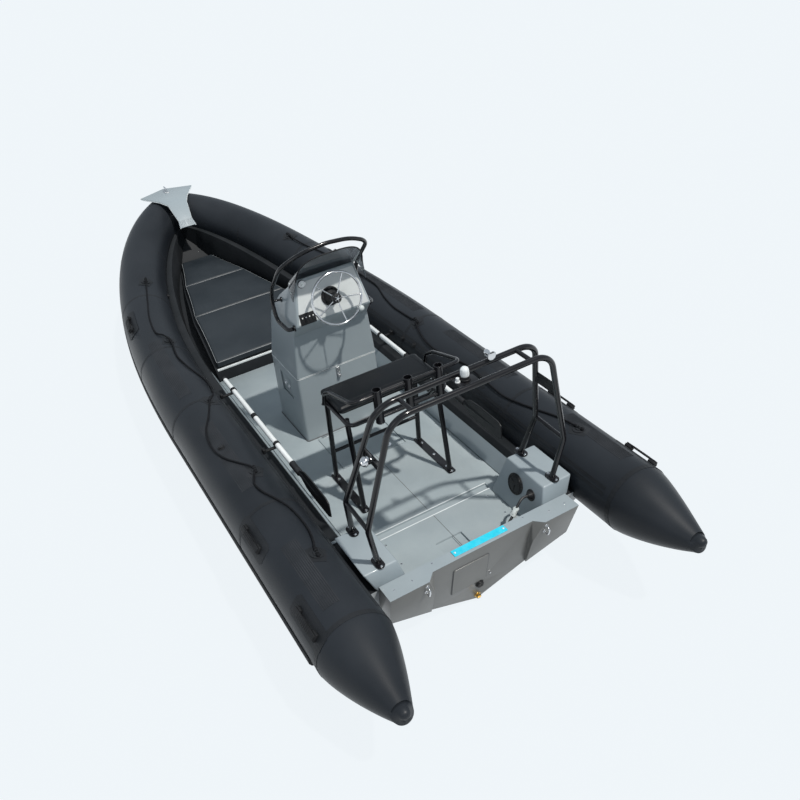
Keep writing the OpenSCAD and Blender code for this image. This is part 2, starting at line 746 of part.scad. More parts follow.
module side_panel() {
    color("#8a9397")
    translate([panel_x + 0.5, console_y - 22, panel_z + 0.5]) cube([panel_w - 1, 8, panel_h - 1]);
    color("#cfd2d4")
    for (x = [56, 118])
        translate([panel_x + x, console_y - 14, panel_z + panel_h / 2])
            rotate([-90, 0, 0]) cylinder(h = 6, r = 16, $fn = 32);
}
module console_hasp() {
    color("#cfd2d4")
    translate([base_x[0] - base_top_in - 3.3, -14, console_seam_z - 62]) cube([3, 28, 56]);
}

// ---- console top, hinged at the front of the seam ----
seam_gap = 6;
top_x0 = base_x[0] - base_top_in;
top_x1 = base_x[1] - 26;
top_z0 = console_seam_z + seam_gap;
dash_low = [1628, 1086];
dash_high = [1692, 1373];
top_half = [console_y - base_top_in, 262, 205];
function top_profile(w) = [
    [top_x0 + w, top_z0 - (w > 0 ? 1 : 0)], [top_x0 - 14 + w, 985], [dash_low[0] + 2 * w, dash_low[1] + w / 3],
    [dash_high[0] + 1.2 * w, dash_high[1] - 1.4 * w], [1935 - w / 2, 1192 - 1.4 * w],
    [2085 - w, 1022 - w], [top_x1 - w, top_z0 - (w > 0 ? 1 : 0)]
];
function top_front(w) = [
    [-top_half[0] + w, top_z0 - (w > 0 ? 1 : 0)], [top_half[0] - w, top_z0 - (w > 0 ? 1 : 0)],
    [top_half[1] - w, dash_low[1]], [top_half[2] - w, dash_high[1] + 1], [-top_half[2] + w, dash_high[1] + 1],
    [-top_half[1] + w, dash_low[1]]
];
module top_block(w) {
    intersection() {
        side_profile(top_profile(w), 400);
        rotate([90, 0, 90]) linear_extrude(3000) polygon(top_front(w));
    }
}
module console_top() {
    color("#8f989c")
    difference() {
        top_block(0);
        top_block(console_wall);
    }
}
// Dash plane: origin at the lower edge, X to starboard, Y up the dash, Z out of it
dash_lean = atan2(dash_high[0] - dash_low[0], dash_high[1] - dash_low[1]);
module on_dash(y, up, g = seat_gap) {
    translate([dash_low[0], y, dash_low[1]])
        rotate([0, -90 + dash_lean, 0]) translate([up, 0, g]) children();
}
wheel_at = [1550, 0, 1237];
// Height up the dash where the wheel's shaft meets it
helm_up = (wheel_at[0] - dash_low[0]) * sin(dash_lean) + (wheel_at[2] - dash_low[1]) * cos(dash_lean);
module helm_bezel() {
    color("#1a1b1d")
    on_dash(0, helm_up) difference() {
        union() {
            cylinder(h = 8, r = 62, $fn = 64);
            cylinder(h = 46, r1 = 46, r2 = 30, $fn = 64);
        }
        translate([0, 0, 20]) cylinder(h = 60, r = shaft_r + 0.5, $fn = 48);
    }
}
shaft_r = 10;
rim_r = 8;
module steering_wheel() {
    color("#d7dadc")
    translate(wheel_at) rotate([0, -90 + dash_lean, 0]) {
        rotate_extrude($fn = 96) translate([wheel_d / 2 - rim_r, 0]) circle(r = rim_r, $fn = 24);
        translate([0, 0, -26]) cylinder(h = 36, r = 30, $fn = 48);
        translate([0, 0, -72]) cylinder(h = 50, r = shaft_r, $fn = 48);
        for (k = [0:4])
            rotate([0, 0, 72 * k - 26])
                bar([26, 0, -12], [wheel_d / 2 - rim_r, 0, 0], 4);
    }
}
module switch_panel() {
    color("#17181a")
    on_dash(180, 4) translate([0, -54, 0]) {
        cube([74, 108, 4]);
        for (k = [0:3]) translate([18, 10 + 24 * k, 4]) cube([38, 16, 6]);
    }
}
module compass() {
    color("#cfd2d4")
    on_dash(163, 258) cylinder(h = 12, r = 25, $fn = 48);
}
cowl_slope = (1373 - 1192) / (1935 - 1692);
function cowl_z(x) = dash_high[1] - (x - dash_high[0]) * cowl_slope;
screen_n = 24;
function screen_low(u) =
    let (x = 1800 - 160 * pow(abs(u), 2.2), s = max(abs(u) - 0.75, 0) / 0.25)
    [x, 250 * sin(90 * u), lerp(cowl_z(x) + 0.8, 1262, s)];
function screen_high(u) =
    [1520 + 85 * pow(abs(u), 2), 226 * sin(90 * u), 1556 - 160 * pow(abs(u), 2.6)];
module windscreen() {
    color("#3a3f43", 0.5)
    loft([
        for (i = [0:screen_n])
            let (
                u = 2 * i / screen_n - 1,
                a = screen_low(u),
                b = screen_high(u),
                along = screen_low(min(u + 0.02, 1)) - screen_low(max(u - 0.02, -1)),
                n = unit(cross(along, b - a)) * 5
            )
            [a, b, b + n, a + n]
    ]);
}
rail_r = 13;
rail_half = [
    [1675, top_half[1] + 11.8, 1067], [1700, 300, 1056], [1870, 302, 1056], [1900, 302, 1180],
    [1850, 302, 1290], [1645, 300, 1500], [1600, 160, 1572], [1592, 0, 1590]
];
rail_path = concat(rail_half, [for (i = [len(rail_half) - 2:-1:0]) flip(rail_half[i])]);
module handrail() {
    color("#17181a") {
        sweep(rounded(rail_path, 60, 4), rail_r, 12);
        both_sides() bar([1885, 247, 1180], [1896, 288.4, 1180], 8);
    }
}

// ---- seat ----
base_t = 8;
leg_fwd = [1275, 1225];
leg_aft = [893, 955];
ring_z = 806;
ring_x = [862, 1240];
pan_x = 985;          // aft edge of the seat pan
ring_y = 332;
frame_r = frame_d / 2;
leg_top = ring_z - 8;
base_top = deck_z + liner_gap + seat_gap + base_t;
function leg_x(pair, z) = lerp(pair[0], pair[1], (z - base_top) / (leg_top - base_top));
footrest_z = 371;
holder_x = 730;
holder_y = 199;
holder_z = [858, 1078];
holder_r = rod_d / 2 + 4;
rail_z = 1046;
arm_y = 351;
// Closed tube around the seat pan, with round corners
ring_bend = 60;
module ring_tube() {
    c = [
        [ring_x[0], ring_y, ring_z], [ring_x[1], ring_y, ring_z],
        [ring_x[1], -ring_y, ring_z], [ring_x[0], -ring_y, ring_z]
    ];
    p = [for (i = [0:3]) each corner_arc(c[(i + 3) % 4], c[i], c[(i + 1) % 4], ring_bend, 6)];
    n = len(p);
    loft([
        for (i = [0:n - 1])
            let (t = unit(p[(i + 1) % n] - p[(i + n - 1) % n]), v = cross([0, 0, 1], t))
            [for (k = [0:11]) p[i] + 12.5 * (v * cos(30 * k) + cross(t, v) * sin(30 * k))]
    ], true);
}
module seat_frame() {
    color("#17181a") {
        both_sides() {
            translate([leg_aft[0] - 36, seat_y - 27, base_top - base_t])
                cube([leg_fwd[0] - leg_aft[0] + 72, 54, base_t]);
            for (q = [leg_fwd, leg_aft])
                sweep([[q[0], seat_y, base_top], [q[1], seat_y - 6, leg_top]], frame_r, 16);
            sweep([
                [ring_x[0], holder_y, ring_z], [holder_x + 76, holder_y, 870],
                [holder_x + holder_r + 3, holder_y, 880]
            ], 12, 12);
            sweep(rounded([
                [holder_x, holder_y + holder_r + 0.4, rail_z], [holder_x, arm_y, rail_z],
                [1040, arm_y, 955], [1130, arm_y, 900], [1162, arm_y, ring_z + 4]
            ], 55, 5), 12, 12);
        }
        sweep([[leg_x(leg_fwd, footrest_z), -seat_y + 12, footrest_z],
            [leg_x(leg_fwd, footrest_z), seat_y - 12, footrest_z]], 12, 12);
        ring_tube();
        translate([pan_x + 6, -ring_y + 6, ring_z + 9]) cube([ring_x[1] - pan_x - 12, 2 * ring_y - 12, 4]);
    }
}
module seat_cushion() {
    x0 = pan_x - 8;
    x1 = ring_x[1] + 4;
    y = ring_y + 2;
    color("#2a2e33")
    translate([0, 0, ring_z + 13 + seat_gap]) linear_extrude(seat_top_z - ring_z - 13)
        polygon([
            [x0, -y + 60], [x0 + 18, -y + 18], [x0 + 60, -y], [x1 - 60, -y], [x1 - 18, -y + 18],
            [x1, -y + 60], [x1, y - 60], [x1 - 18, y - 18], [x1 - 60, y], [x0 + 60, y],
            [x0 + 18, y - 18], [x0, y - 60]
        ]);
}
module rod_holders() {
    color("#17181a")
    for (y = [-holder_y, 0, holder_y])
        translate([holder_x, y, holder_z[0]]) difference() {
            cylinder(h = holder_z[1] - holder_z[0], r = holder_r, $fn = 64);
            translate([0, 0, 12]) cylinder(h = 400, r = rod_d / 2, $fn = 64);
        }
    color("#17181a")
    for (s = [-1, 1]) for (z = [rail_z, 890])
        bar([holder_x, s * (holder_r - 1), z], [holder_x, s * (holder_y - holder_r + 1), z], 10);
}

// ---- stern arch ----
foot_t = 8;
front_leg = [[477, arch_y, box_z + foot_t], [387, 614, 733], [188, 464, arch_z]];
rear_leg = [[185, arch_y, box_z + foot_t], [141, 618, 718], [58, 458, arch_z]];
function hoop(leg) = concat(leg, [for (i = [2:-1:0]) flip(leg[i])]);
function leg_at(leg, z) = lerp(leg[1], leg[2], (z - leg[1][2]) / (leg[2][2] - leg[1][2]));
module foot(at) {
    translate([at[0], at[1], box_z + seat_gap]) hull() {
        for (s = [-1, 1]) translate([s * 22, 0, 0]) cylinder(h = foot_t, r = 27, $fn = 32);
    }
}
module arch_hoop(leg) {
    sweep(rounded(hoop(leg), 130, 7), frame_r, 16);
    both_sides() foot(leg[0]);
}
module arch_front() {
    color("#17181a") arch_hoop(front_leg);
}
module arch_rear() {
    color("#17181a") arch_hoop(rear_leg);
}
brace_y = 340;
side_plate_z = 1105;
side_plate_h = 35;
lamp_plate_y = 6;
function gusset_corner(leg, z, s) = [leg_at(leg, z)[0] + s * (frame_r + 1.2), z];
module gusset() {
    y = leg_at(front_leg, side_plate_z)[1] - 0.5;
    low = side_plate_z - side_plate_h;
    high = side_plate_z + side_plate_h;
    translate([0, y, 0]) rotate([90, 0, 0]) linear_extrude(5)
        polygon([
            gusset_corner(rear_leg, low, 1), gusset_corner(front_leg, low, -1),
            gusset_corner(front_leg, high, -1), gusset_corner(rear_leg, high, 1)
        ]);
}
module arch_braces() {
    color("#17181a") {
        both_sides() {
            bar([rear_leg[2][0] + frame_r + 0.4, brace_y, arch_z], [front_leg[2][0] - frame_r - 0.4, brace_y, arch_z], 12);
            bar(rear_leg[1] + [frame_r + 2, -2, 3], front_leg[1] + [-frame_r - 2.6, 0, -3], 12);
            gusset();
        }
        translate([rear_leg[2][0] + frame_r + 0.4, lamp_plate_y - 55, arch_z - 3])
            cube([front_leg[2][0] - rear_leg[2][0] - frame_d - 0.8, 110, 5]);
    }
}
module nav_light() {
    mid = (front_leg[2][0] + rear_leg[2][0]) / 2;
    translate([mid, lamp_plate_y, arch_z + 2 + seat_gap]) {
        color("#1a1b1d") cylinder(h = 22, r = 26, $fn = 48);
        color("#eef2f4") translate([0, 0, 22]) cylinder(h = 50, r = 22, $fn = 48);
    }
}
horn_y = -180;
module horn() {
    color("#cfd2d4")
    translate([front_leg[2][0], horn_y, arch_z + frame_r + seat_gap]) {
        cylinder(h = 14, r = 9, $fn = 32);
        translate([28, 0, 26]) rotate([0, -90, 0]) cylinder(h = 56, r1 = 15, r2 = 24, $fn = 40);
    }
}
module deck_lamp() {
    y = leg_at(front_leg, side_plate_z)[1];
    color("#d7dadc")
    translate([170, y, side_plate_z + 10]) {
        rotate([-90, 0, 0]) cylinder(h = 12, r = 9, $fn = 32);
        translate([0, 34, 0]) sphere(r = 27, $fn = 48);
    }
}

rigid_hull();
transom();
deck();
inner_sides();
aft_side_boxes();
deck_hatch();
engine_pad();
inspection_cover();
rigging_boot();
engine_cable();
cable_connector();
bilge_outlet();
drain_plug();
transom_eyes();
bow_eye();
side_tube_port();
side_tube_starboard();
bow_tube_port();
bow_tube_starboard();
stern_cones();
rubbing_strakes();
lifelines();
lifeline_patches();
carry_handles();
oar_shafts();
oar_blades();
oar_clips();
bow_plate();
bow_cleat();
bow_locker();
bow_cushion_front();
bow_cushion_middle();
bow_cushion_rear();
console_base();
side_panel();
console_hasp();
seat_frame();
seat_cushion();
rod_holders();
arch_front();
arch_rear();
arch_braces();
nav_light();
horn();
deck_lamp();
console_top();
windscreen();
handrail();
switch_panel();
compass();
helm_bezel();
steering_wheel();
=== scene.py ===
import math

import bpy
import numpy as np
from mathutils import Euler, Matrix, Vector


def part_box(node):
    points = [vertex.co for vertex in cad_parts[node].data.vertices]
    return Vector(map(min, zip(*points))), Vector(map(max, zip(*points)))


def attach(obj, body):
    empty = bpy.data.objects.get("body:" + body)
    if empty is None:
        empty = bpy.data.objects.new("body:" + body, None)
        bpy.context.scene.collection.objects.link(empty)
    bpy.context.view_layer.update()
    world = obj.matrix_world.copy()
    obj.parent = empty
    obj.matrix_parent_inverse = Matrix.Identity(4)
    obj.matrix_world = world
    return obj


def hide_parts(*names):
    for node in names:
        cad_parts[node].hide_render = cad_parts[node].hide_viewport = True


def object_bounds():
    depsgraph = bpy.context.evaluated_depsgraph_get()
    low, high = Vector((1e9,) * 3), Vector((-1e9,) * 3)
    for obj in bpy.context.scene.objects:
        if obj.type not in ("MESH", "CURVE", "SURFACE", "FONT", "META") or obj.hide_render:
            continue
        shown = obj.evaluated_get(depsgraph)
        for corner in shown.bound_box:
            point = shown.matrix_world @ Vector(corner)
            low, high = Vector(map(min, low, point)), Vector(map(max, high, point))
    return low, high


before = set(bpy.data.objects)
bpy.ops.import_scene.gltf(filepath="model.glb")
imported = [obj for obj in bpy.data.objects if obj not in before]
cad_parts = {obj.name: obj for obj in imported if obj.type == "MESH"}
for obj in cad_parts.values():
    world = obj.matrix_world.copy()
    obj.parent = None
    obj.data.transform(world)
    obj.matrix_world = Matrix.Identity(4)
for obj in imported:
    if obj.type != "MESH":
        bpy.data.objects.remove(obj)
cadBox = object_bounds()
print("frame loaded")

# small tools


def clearPick():
    bpy.ops.object.select_all(action="DESELECT")


def activate(obj):
    clearPick()
    obj.select_set(True)
    bpy.context.view_layer.objects.active = obj
    return obj


def settle(obj):  # place, turn and size go into the mesh
    activate(obj)
    bpy.ops.object.transform_apply(location=True, rotation=True, scale=True)
    return obj


def modify(obj, kind, **values):
    activate(obj)
    step = obj.modifiers.new(kind.lower(), kind)
    for key, value in values.items():
        setattr(step, key, value)
    bpy.ops.object.modifier_apply(modifier=step.name)
    return obj


def bevelled(obj, width, segments=2, angle=35):
    return modify(obj, "BEVEL", width=width, segments=segments, limit_method="ANGLE",
                  angle_limit=math.radians(angle), harden_normals=False)


def smooth(obj, angle=35):
    activate(obj)
    bpy.ops.object.shade_smooth_by_angle(angle=math.radians(angle))
    return obj


def edited(obj, *steps):  # runs mesh tools in edit mode, each on everything
    activate(obj)
    bpy.ops.object.mode_set(mode="EDIT")
    bpy.ops.mesh.select_all(action="SELECT")
    for tool, values in steps:
        getattr(bpy.ops.mesh, tool)(**values)
    bpy.ops.object.mode_set(mode="OBJECT")
    return obj


def outward(obj):
    return edited(obj, ("remove_doubles", {"threshold": 0.00002}),
                  ("normals_make_consistent", {"inside": False}))


def join(parts):
    clearPick()
    for part in parts:
        part.select_set(True)
    bpy.context.view_layer.objects.active = parts[0]
    if len(parts) > 1:
        bpy.ops.object.join()
    return parts[0]


def mirrored(obj):  # a copy on the other side of the boat
    other = obj.copy()
    other.data = obj.data.copy()
    bpy.context.collection.objects.link(other)
    for v in other.data.vertices:
        v.co.y = -v.co.y
    return edited(other, ("flip_normals", {}))


def twin(parts):  # a piece and its copy on the other side, as one
    obj = join(parts) if isinstance(parts, list) else parts
    return join([obj, mirrored(obj)])


def placed(obj, matrix):
    for v in obj.data.vertices:
        v.co = matrix @ v.co
    return obj


def onFace(face, *parts):
    return [placed(part, face) for part in parts]


def done(parts, name, finishName, body="boat", replaces=()):  # names, colours and hands over a piece
    obj = join(parts) if isinstance(parts, list) else parts
    obj.name = name
    obj.data.name = name
    obj.data.materials.clear()
    obj.data.materials.append(look[finishName])
    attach(obj, body)
    if replaces:
        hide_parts(*replaces)
    return obj


def box(low, high, edge=0.0, segments=2):
    low, high = Vector(low), Vector(high)
    bpy.ops.mesh.primitive_cube_add(size=1, location=(low + high) / 2)
    obj = bpy.context.object
    obj.scale = high - low
    settle(obj)
    return bevelled(obj, edge, segments) if edge else obj


def turned(axis):  # rotation that takes Z to the axis
    return Vector(axis).normalized().to_track_quat("Z", "Y").to_matrix().to_4x4()


def rod(start, end, radius, edge=0.0, sides=32, radiusEnd=None):
    start, end = Vector(start), Vector(end)
    bpy.ops.mesh.primitive_cone_add(vertices=sides, radius1=radius, depth=(end - start).length,
                                    radius2=radius if radiusEnd is None else radiusEnd)
    obj = bpy.context.object
    placed(obj, Matrix.Translation((start + end) / 2) @ turned(end - start))
    return smooth(bevelled(obj, edge, 3, 40) if edge else obj, 40)


def ball(centre, radius, squash=1.0, axis=(0, 0, 1), sides=32):
    bpy.ops.mesh.primitive_uv_sphere_add(segments=sides, ring_count=sides // 2, radius=radius)
    obj = bpy.context.object
    placed(obj, Matrix.Translation(centre) @ turned(axis) @ Matrix.Diagonal((1, 1, squash, 1)))
    return smooth(obj, 60)


def ringOf(centre, axis, major, minor, sides=48, small=12):
    bpy.ops.mesh.primitive_torus_add(major_radius=major, minor_radius=minor,
                                     major_segments=sides, minor_segments=small)
    obj = bpy.context.object
    placed(obj, Matrix.Translation(centre) @ turned(axis))
    return smooth(obj, 60)


def bends(corners, radius, steps=6):  # corner points with each corner rounded
    points = [Vector(c) for c in corners]
    route = [points[0]]
    radii = radius if hasattr(radius, "__len__") else [radius] * (len(points) - 2)
    for a, b, c, radius in zip(points, points[1:], points[2:], radii):
        u, v = (a - b).normalized(), (c - b).normalized()
        half = math.acos(max(-1, min(1, u.dot(v)))) / 2
        if half > math.radians(89):
            route.append(b)
            continue
        cut = min(radius / math.tan(half), 0.45 * (a - b).length, 0.45 * (c - b).length)
        r = cut * math.tan(half)
        middle = b + (u + v).normalized() * r / math.sin(half)
        e = (b + u * cut - middle).normalized()
        w = b + v * cut - middle
        w = (w - e * w.dot(e)).normalized()
        turn = math.pi - 2 * half
        route += [middle + r * (e * math.cos(turn * k / steps) + w * math.sin(turn * k / steps))
                  for k in range(steps + 1)]
    return route + [points[-1]]


def softened(points, steps):  # smooth curve through points
    p = [Vector(q) for q in points]
    route = []
    for i in range(len(p) - 1):
        a, b, c, d = p[max(i - 1, 0)], p[i], p[i + 1], p[min(i + 2, len(p) - 1)]
        for k in range(steps):
            t = k / steps
            route.append(0.5 * (2 * b + (c - a) * t + (2 * a - 5 * b + 4 * c - d) * t * t
                                + (3 * b - a - 3 * c + d) * t ** 3))
    return route + [p[-1]]


def pipe(points, radius, around=6, loop=False, caps=True):  # tube along a route, as a mesh
    curve = bpy.data.curves.new("pipe", "CURVE")
    curve.dimensions = "3D"
    curve.bevel_mode = "ROUND"
    curve.bevel_depth = 1.0
    curve.bevel_resolution = around
    curve.use_fill_caps = caps and not loop
    curve.twist_mode = "MINIMUM"
    spline = curve.splines.new("POLY")
    spline.points.add(len(points) - 1)
    spline.use_cyclic_u = loop
    radii = radius if hasattr(radius, "__len__") else [radius] * len(points)
    for knot, place, r in zip(spline.points, points, radii):
        knot.co = (*place, 1)
        knot.radius = r
    obj = bpy.data.objects.new("pipe", curve)
    bpy.context.collection.objects.link(obj)
    activate(obj)
    bpy.ops.object.convert(target="MESH")
    outward(obj)
    return smooth(obj, 50)


# plate on the XY plane, cut into strips so that it can bend
def flatShape(outline, thick, edge=0.0, cuts=0.0):
    mesh = bpy.data.meshes.new("plate")
    mesh.from_pydata([(x, y, 0) for x, y in outline], [], [list(range(len(outline)))])
    obj = bpy.data.objects.new("plate", mesh)
    bpy.context.collection.objects.link(obj)
    activate(obj)
    bpy.ops.object.mode_set(mode="EDIT")
    bpy.ops.mesh.select_all(action="SELECT")
    bpy.ops.mesh.normals_make_consistent(inside=False)
    bpy.ops.mesh.extrude_region_move(TRANSFORM_OT_translate={"value": (0, 0, thick)})
    bpy.ops.mesh.select_all(action="SELECT")
    bpy.ops.mesh.normals_make_consistent(inside=False)
    bpy.ops.object.mode_set(mode="OBJECT")
    if edge:
        for e in mesh.edges:
            a, b = (mesh.vertices[i].co.z for i in e.vertices)
            e.select = False
            if min(a, b) > thick / 2:
                e.use_edge_sharp = True
        modify(obj, "BEVEL", width=edge, segments=2, limit_method="ANGLE", angle_limit=math.radians(60))
    if cuts:
        xs = [x for x, _ in outline]
        ys = [y for _, y in outline]
        activate(obj)
        bpy.ops.object.mode_set(mode="EDIT")
        for axis, low, high in ((0, min(xs), max(xs)), (1, min(ys), max(ys))):
            count = int((high - low) / cuts)
            for i in range(1, count + 1):
                at = [0, 0, 0]
                at[axis] = low + (high - low) * i / (count + 1)
                bpy.ops.mesh.select_all(action="SELECT")
                bpy.ops.mesh.bisect(plane_co=at, plane_no=[float(axis == 0), float(axis == 1), 0])
        bpy.ops.object.mode_set(mode="OBJECT")
    return obj


def roundedOutline(width, height, radius, steps=5):
    points = []
    for cx, cy, start in ((1, 1, 0), (-1, 1, 90), (-1, -1, 180), (1, -1, 270)):
        for k in range(steps + 1):
            a = math.radians(start + 90 * k / steps)
            points.append((cx * (width / 2 - radius) + radius * math.cos(a),
                           cy * (height / 2 - radius) + radius * math.sin(a)))
    return points


def circleOutline(radius, sides=32):
    return [(radius * math.cos(2 * math.pi * k / sides), radius * math.sin(2 * math.pi * k / sides))
            for k in range(sides)]


def cadCopy(node, edge=0.0, segments=2, angle=35, merge=0.0001):  # clean copy of a node's mesh
    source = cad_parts[node]
    obj = source.copy()
    obj.data = source.data.copy()
    obj.parent = None
    obj.matrix_world = Matrix.Identity(4)
    bpy.context.collection.objects.link(obj)
    obj.hide_render = obj.hide_viewport = False
    for key in list(obj.keys()):
        del obj[key]
    edited(obj, ("remove_doubles", {"threshold": merge}), ("customdata_custom_splitnormals_clear", {}),
           ("dissolve_limited", {"angle_limit": math.radians(1)}))
    if edge:
        modify(obj, "BEVEL", width=edge, segments=segments, limit_method="ANGLE",
               angle_limit=math.radians(angle), use_clamp_overlap=True)
        modify(obj, "TRIANGULATE")
    return smooth(obj, 32)


def cutBy(obj, place, direction, fill=True):  # keeps what is behind the plane
    return edited(obj, ("bisect", {"plane_co": place, "plane_no": direction, "clear_outer": True,
                                   "use_fill": fill}))


def skinned(rings):  # closed strip through rings of points, capped at both ends
    n = len(rings[0])
    faces = [[i * n + k, i * n + (k + 1) % n, (i + 1) * n + (k + 1) % n, (i + 1) * n + k]
             for i in range(len(rings) - 1) for k in range(n)]
    mesh = bpy.data.meshes.new("strip")
    mesh.from_pydata([tuple(p) for ring in rings for p in ring], [],
                     faces + [list(range(n)), [(len(rings) - 1) * n + k for k in range(n)]])
    obj = bpy.data.objects.new("strip", mesh)
    bpy.context.collection.objects.link(obj)
    return smooth(outward(obj), 35)


# finishes


def shaderGroup(name, inputs, outputs):
    group = bpy.data.node_groups.new(name, "ShaderNodeTree")
    for label, kind, value in inputs:
        socket = group.interface.new_socket(label, in_out="INPUT", socket_type="NodeSocket" + kind)
        if value is not None:
            socket.default_value = value
    for label, kind in outputs:
        group.interface.new_socket(label, in_out="OUTPUT", socket_type="NodeSocket" + kind)
    return group, group.nodes.new("NodeGroupInput"), group.nodes.new("NodeGroupOutput")


def node(tree, kind, links=(), **values):
    made = tree.nodes.new("ShaderNode" + kind)
    for key, value in values.items():
        if hasattr(made, key):
            setattr(made, key, value)
    for socket, source in links:
        if hasattr(source, "node"):
            tree.links.new(source, made.inputs[socket])
        else:
            made.inputs[socket].default_value = source
    return made


def buildMottle():  # two close colours in soft blotches, with a fine grain over them
    g, i, o = shaderGroup("mottle", [("Place", "Vector", None), ("Colour", "Color", (.5, .5, .5, 1)),
                                     ("Tint", "Color", (.4, .4, .4, 1)), ("Blotch", "Float", 3.0),
                                     ("Grain", "Float", 400.0)],
                          [("Colour", "Color"), ("Height", "Float"), ("Spread", "Float")])
    big = node(g, "TexNoise", [("Vector", i.outputs["Place"]), ("Scale", i.outputs["Blotch"]),
                               ("Detail", 5.0)])
    fine = node(g, "TexNoise", [("Vector", i.outputs["Place"]), ("Scale", i.outputs["Grain"]),
                                ("Detail", 3.0)])
    share = node(g, "MapRange", [("Value", big.outputs["Fac"]), ("From Min", 0.34), ("From Max", 0.68)])
    speck = node(g, "MapRange", [("Value", fine.outputs["Fac"]), ("From Min", 0.3), ("From Max", 0.7),
                                 ("To Min", -0.16), ("To Max", 0.16)])
    both = node(g, "Math", [(0, share.outputs[0]), (1, speck.outputs[0])], operation="ADD", use_clamp=True)
    mix = node(g, "Mix", [("Factor", both.outputs[0]), (6, i.outputs["Colour"]), (7, i.outputs["Tint"])],
               data_type="RGBA")
    g.links.new(mix.outputs[2], o.inputs["Colour"])
    g.links.new(fine.outputs["Fac"], o.inputs["Height"])
    g.links.new(both.outputs[0], o.inputs["Spread"])
    return g


def buildEdgeWear():  # pale rub marks where the surface turns sharply
    g, i, o = shaderGroup("edge wear", [("Place", "Vector", None), ("Amount", "Float", 0.5)],
                          [("Mask", "Float")])
    bend = node(g, "NewGeometry")
    sharp = node(g, "MapRange", [("Value", bend.outputs["Pointiness"]), ("From Min", 0.52),
                                 ("From Max", 0.62)])
    patchy = node(g, "TexNoise", [("Vector", i.outputs["Place"]), ("Scale", 35.0), ("Detail", 6.0)])
    some = node(g, "MapRange", [("Value", patchy.outputs["Fac"]), ("From Min", 0.4), ("From Max", 0.62)])
    both = node(g, "Math", [(0, sharp.outputs[0]), (1, some.outputs[0])], operation="MULTIPLY")
    out = node(g, "Math", [(0, both.outputs[0]), (1, i.outputs["Amount"])], operation="MULTIPLY",
               use_clamp=True)
    g.links.new(out.outputs[0], o.inputs["Mask"])
    return g


def buildDust():  # dull film on what faces up
    g, i, o = shaderGroup("settled dust", [("Place", "Vector", None), ("Amount", "Float", 0.3)],
                          [("Mask", "Float")])
    facing = node(g, "NewGeometry")
    parts = node(g, "SeparateXYZ", [(0, facing.outputs["Normal"])])
    up = node(g, "MapRange", [("Value", parts.outputs["Z"]), ("From Min", 0.35), ("From Max", 1.0)])
    cloud = node(g, "TexNoise", [("Vector", i.outputs["Place"]), ("Scale", 2.6), ("Detail", 8.0)])
    some = node(g, "MapRange", [("Value", cloud.outputs["Fac"]), ("From Min", 0.35), ("From Max", 0.75)])
    both = node(g, "Math", [(0, up.outputs[0]), (1, some.outputs[0])], operation="MULTIPLY")
    out = node(g, "Math", [(0, both.outputs[0]), (1, i.outputs["Amount"])], operation="MULTIPLY",
               use_clamp=True)
    g.links.new(out.outputs[0], o.inputs["Mask"])
    return g


def buildWeave():  # crossing threads for coated cloth, rope and anti-slip pads
    g, i, o = shaderGroup("weave", [("Place", "Vector", None), ("Threads", "Float", 300.0)],
                          [("Height", "Float")])
    across = node(g, "TexWave", [("Vector", i.outputs["Place"]), ("Scale", i.outputs["Threads"])],
                  bands_direction="X")
    along = node(g, "TexWave", [("Vector", i.outputs["Place"]), ("Scale", i.outputs["Threads"])],
                 bands_direction="DIAGONAL")
    both = node(g, "Math", [(0, across.outputs["Fac"]), (1, along.outputs["Fac"])], operation="MAXIMUM")
    g.links.new(both.outputs[0], o.inputs["Height"])
    return g


groups = {"mottle": buildMottle(), "wear": buildEdgeWear(), "dust": buildDust(), "weave": buildWeave()}


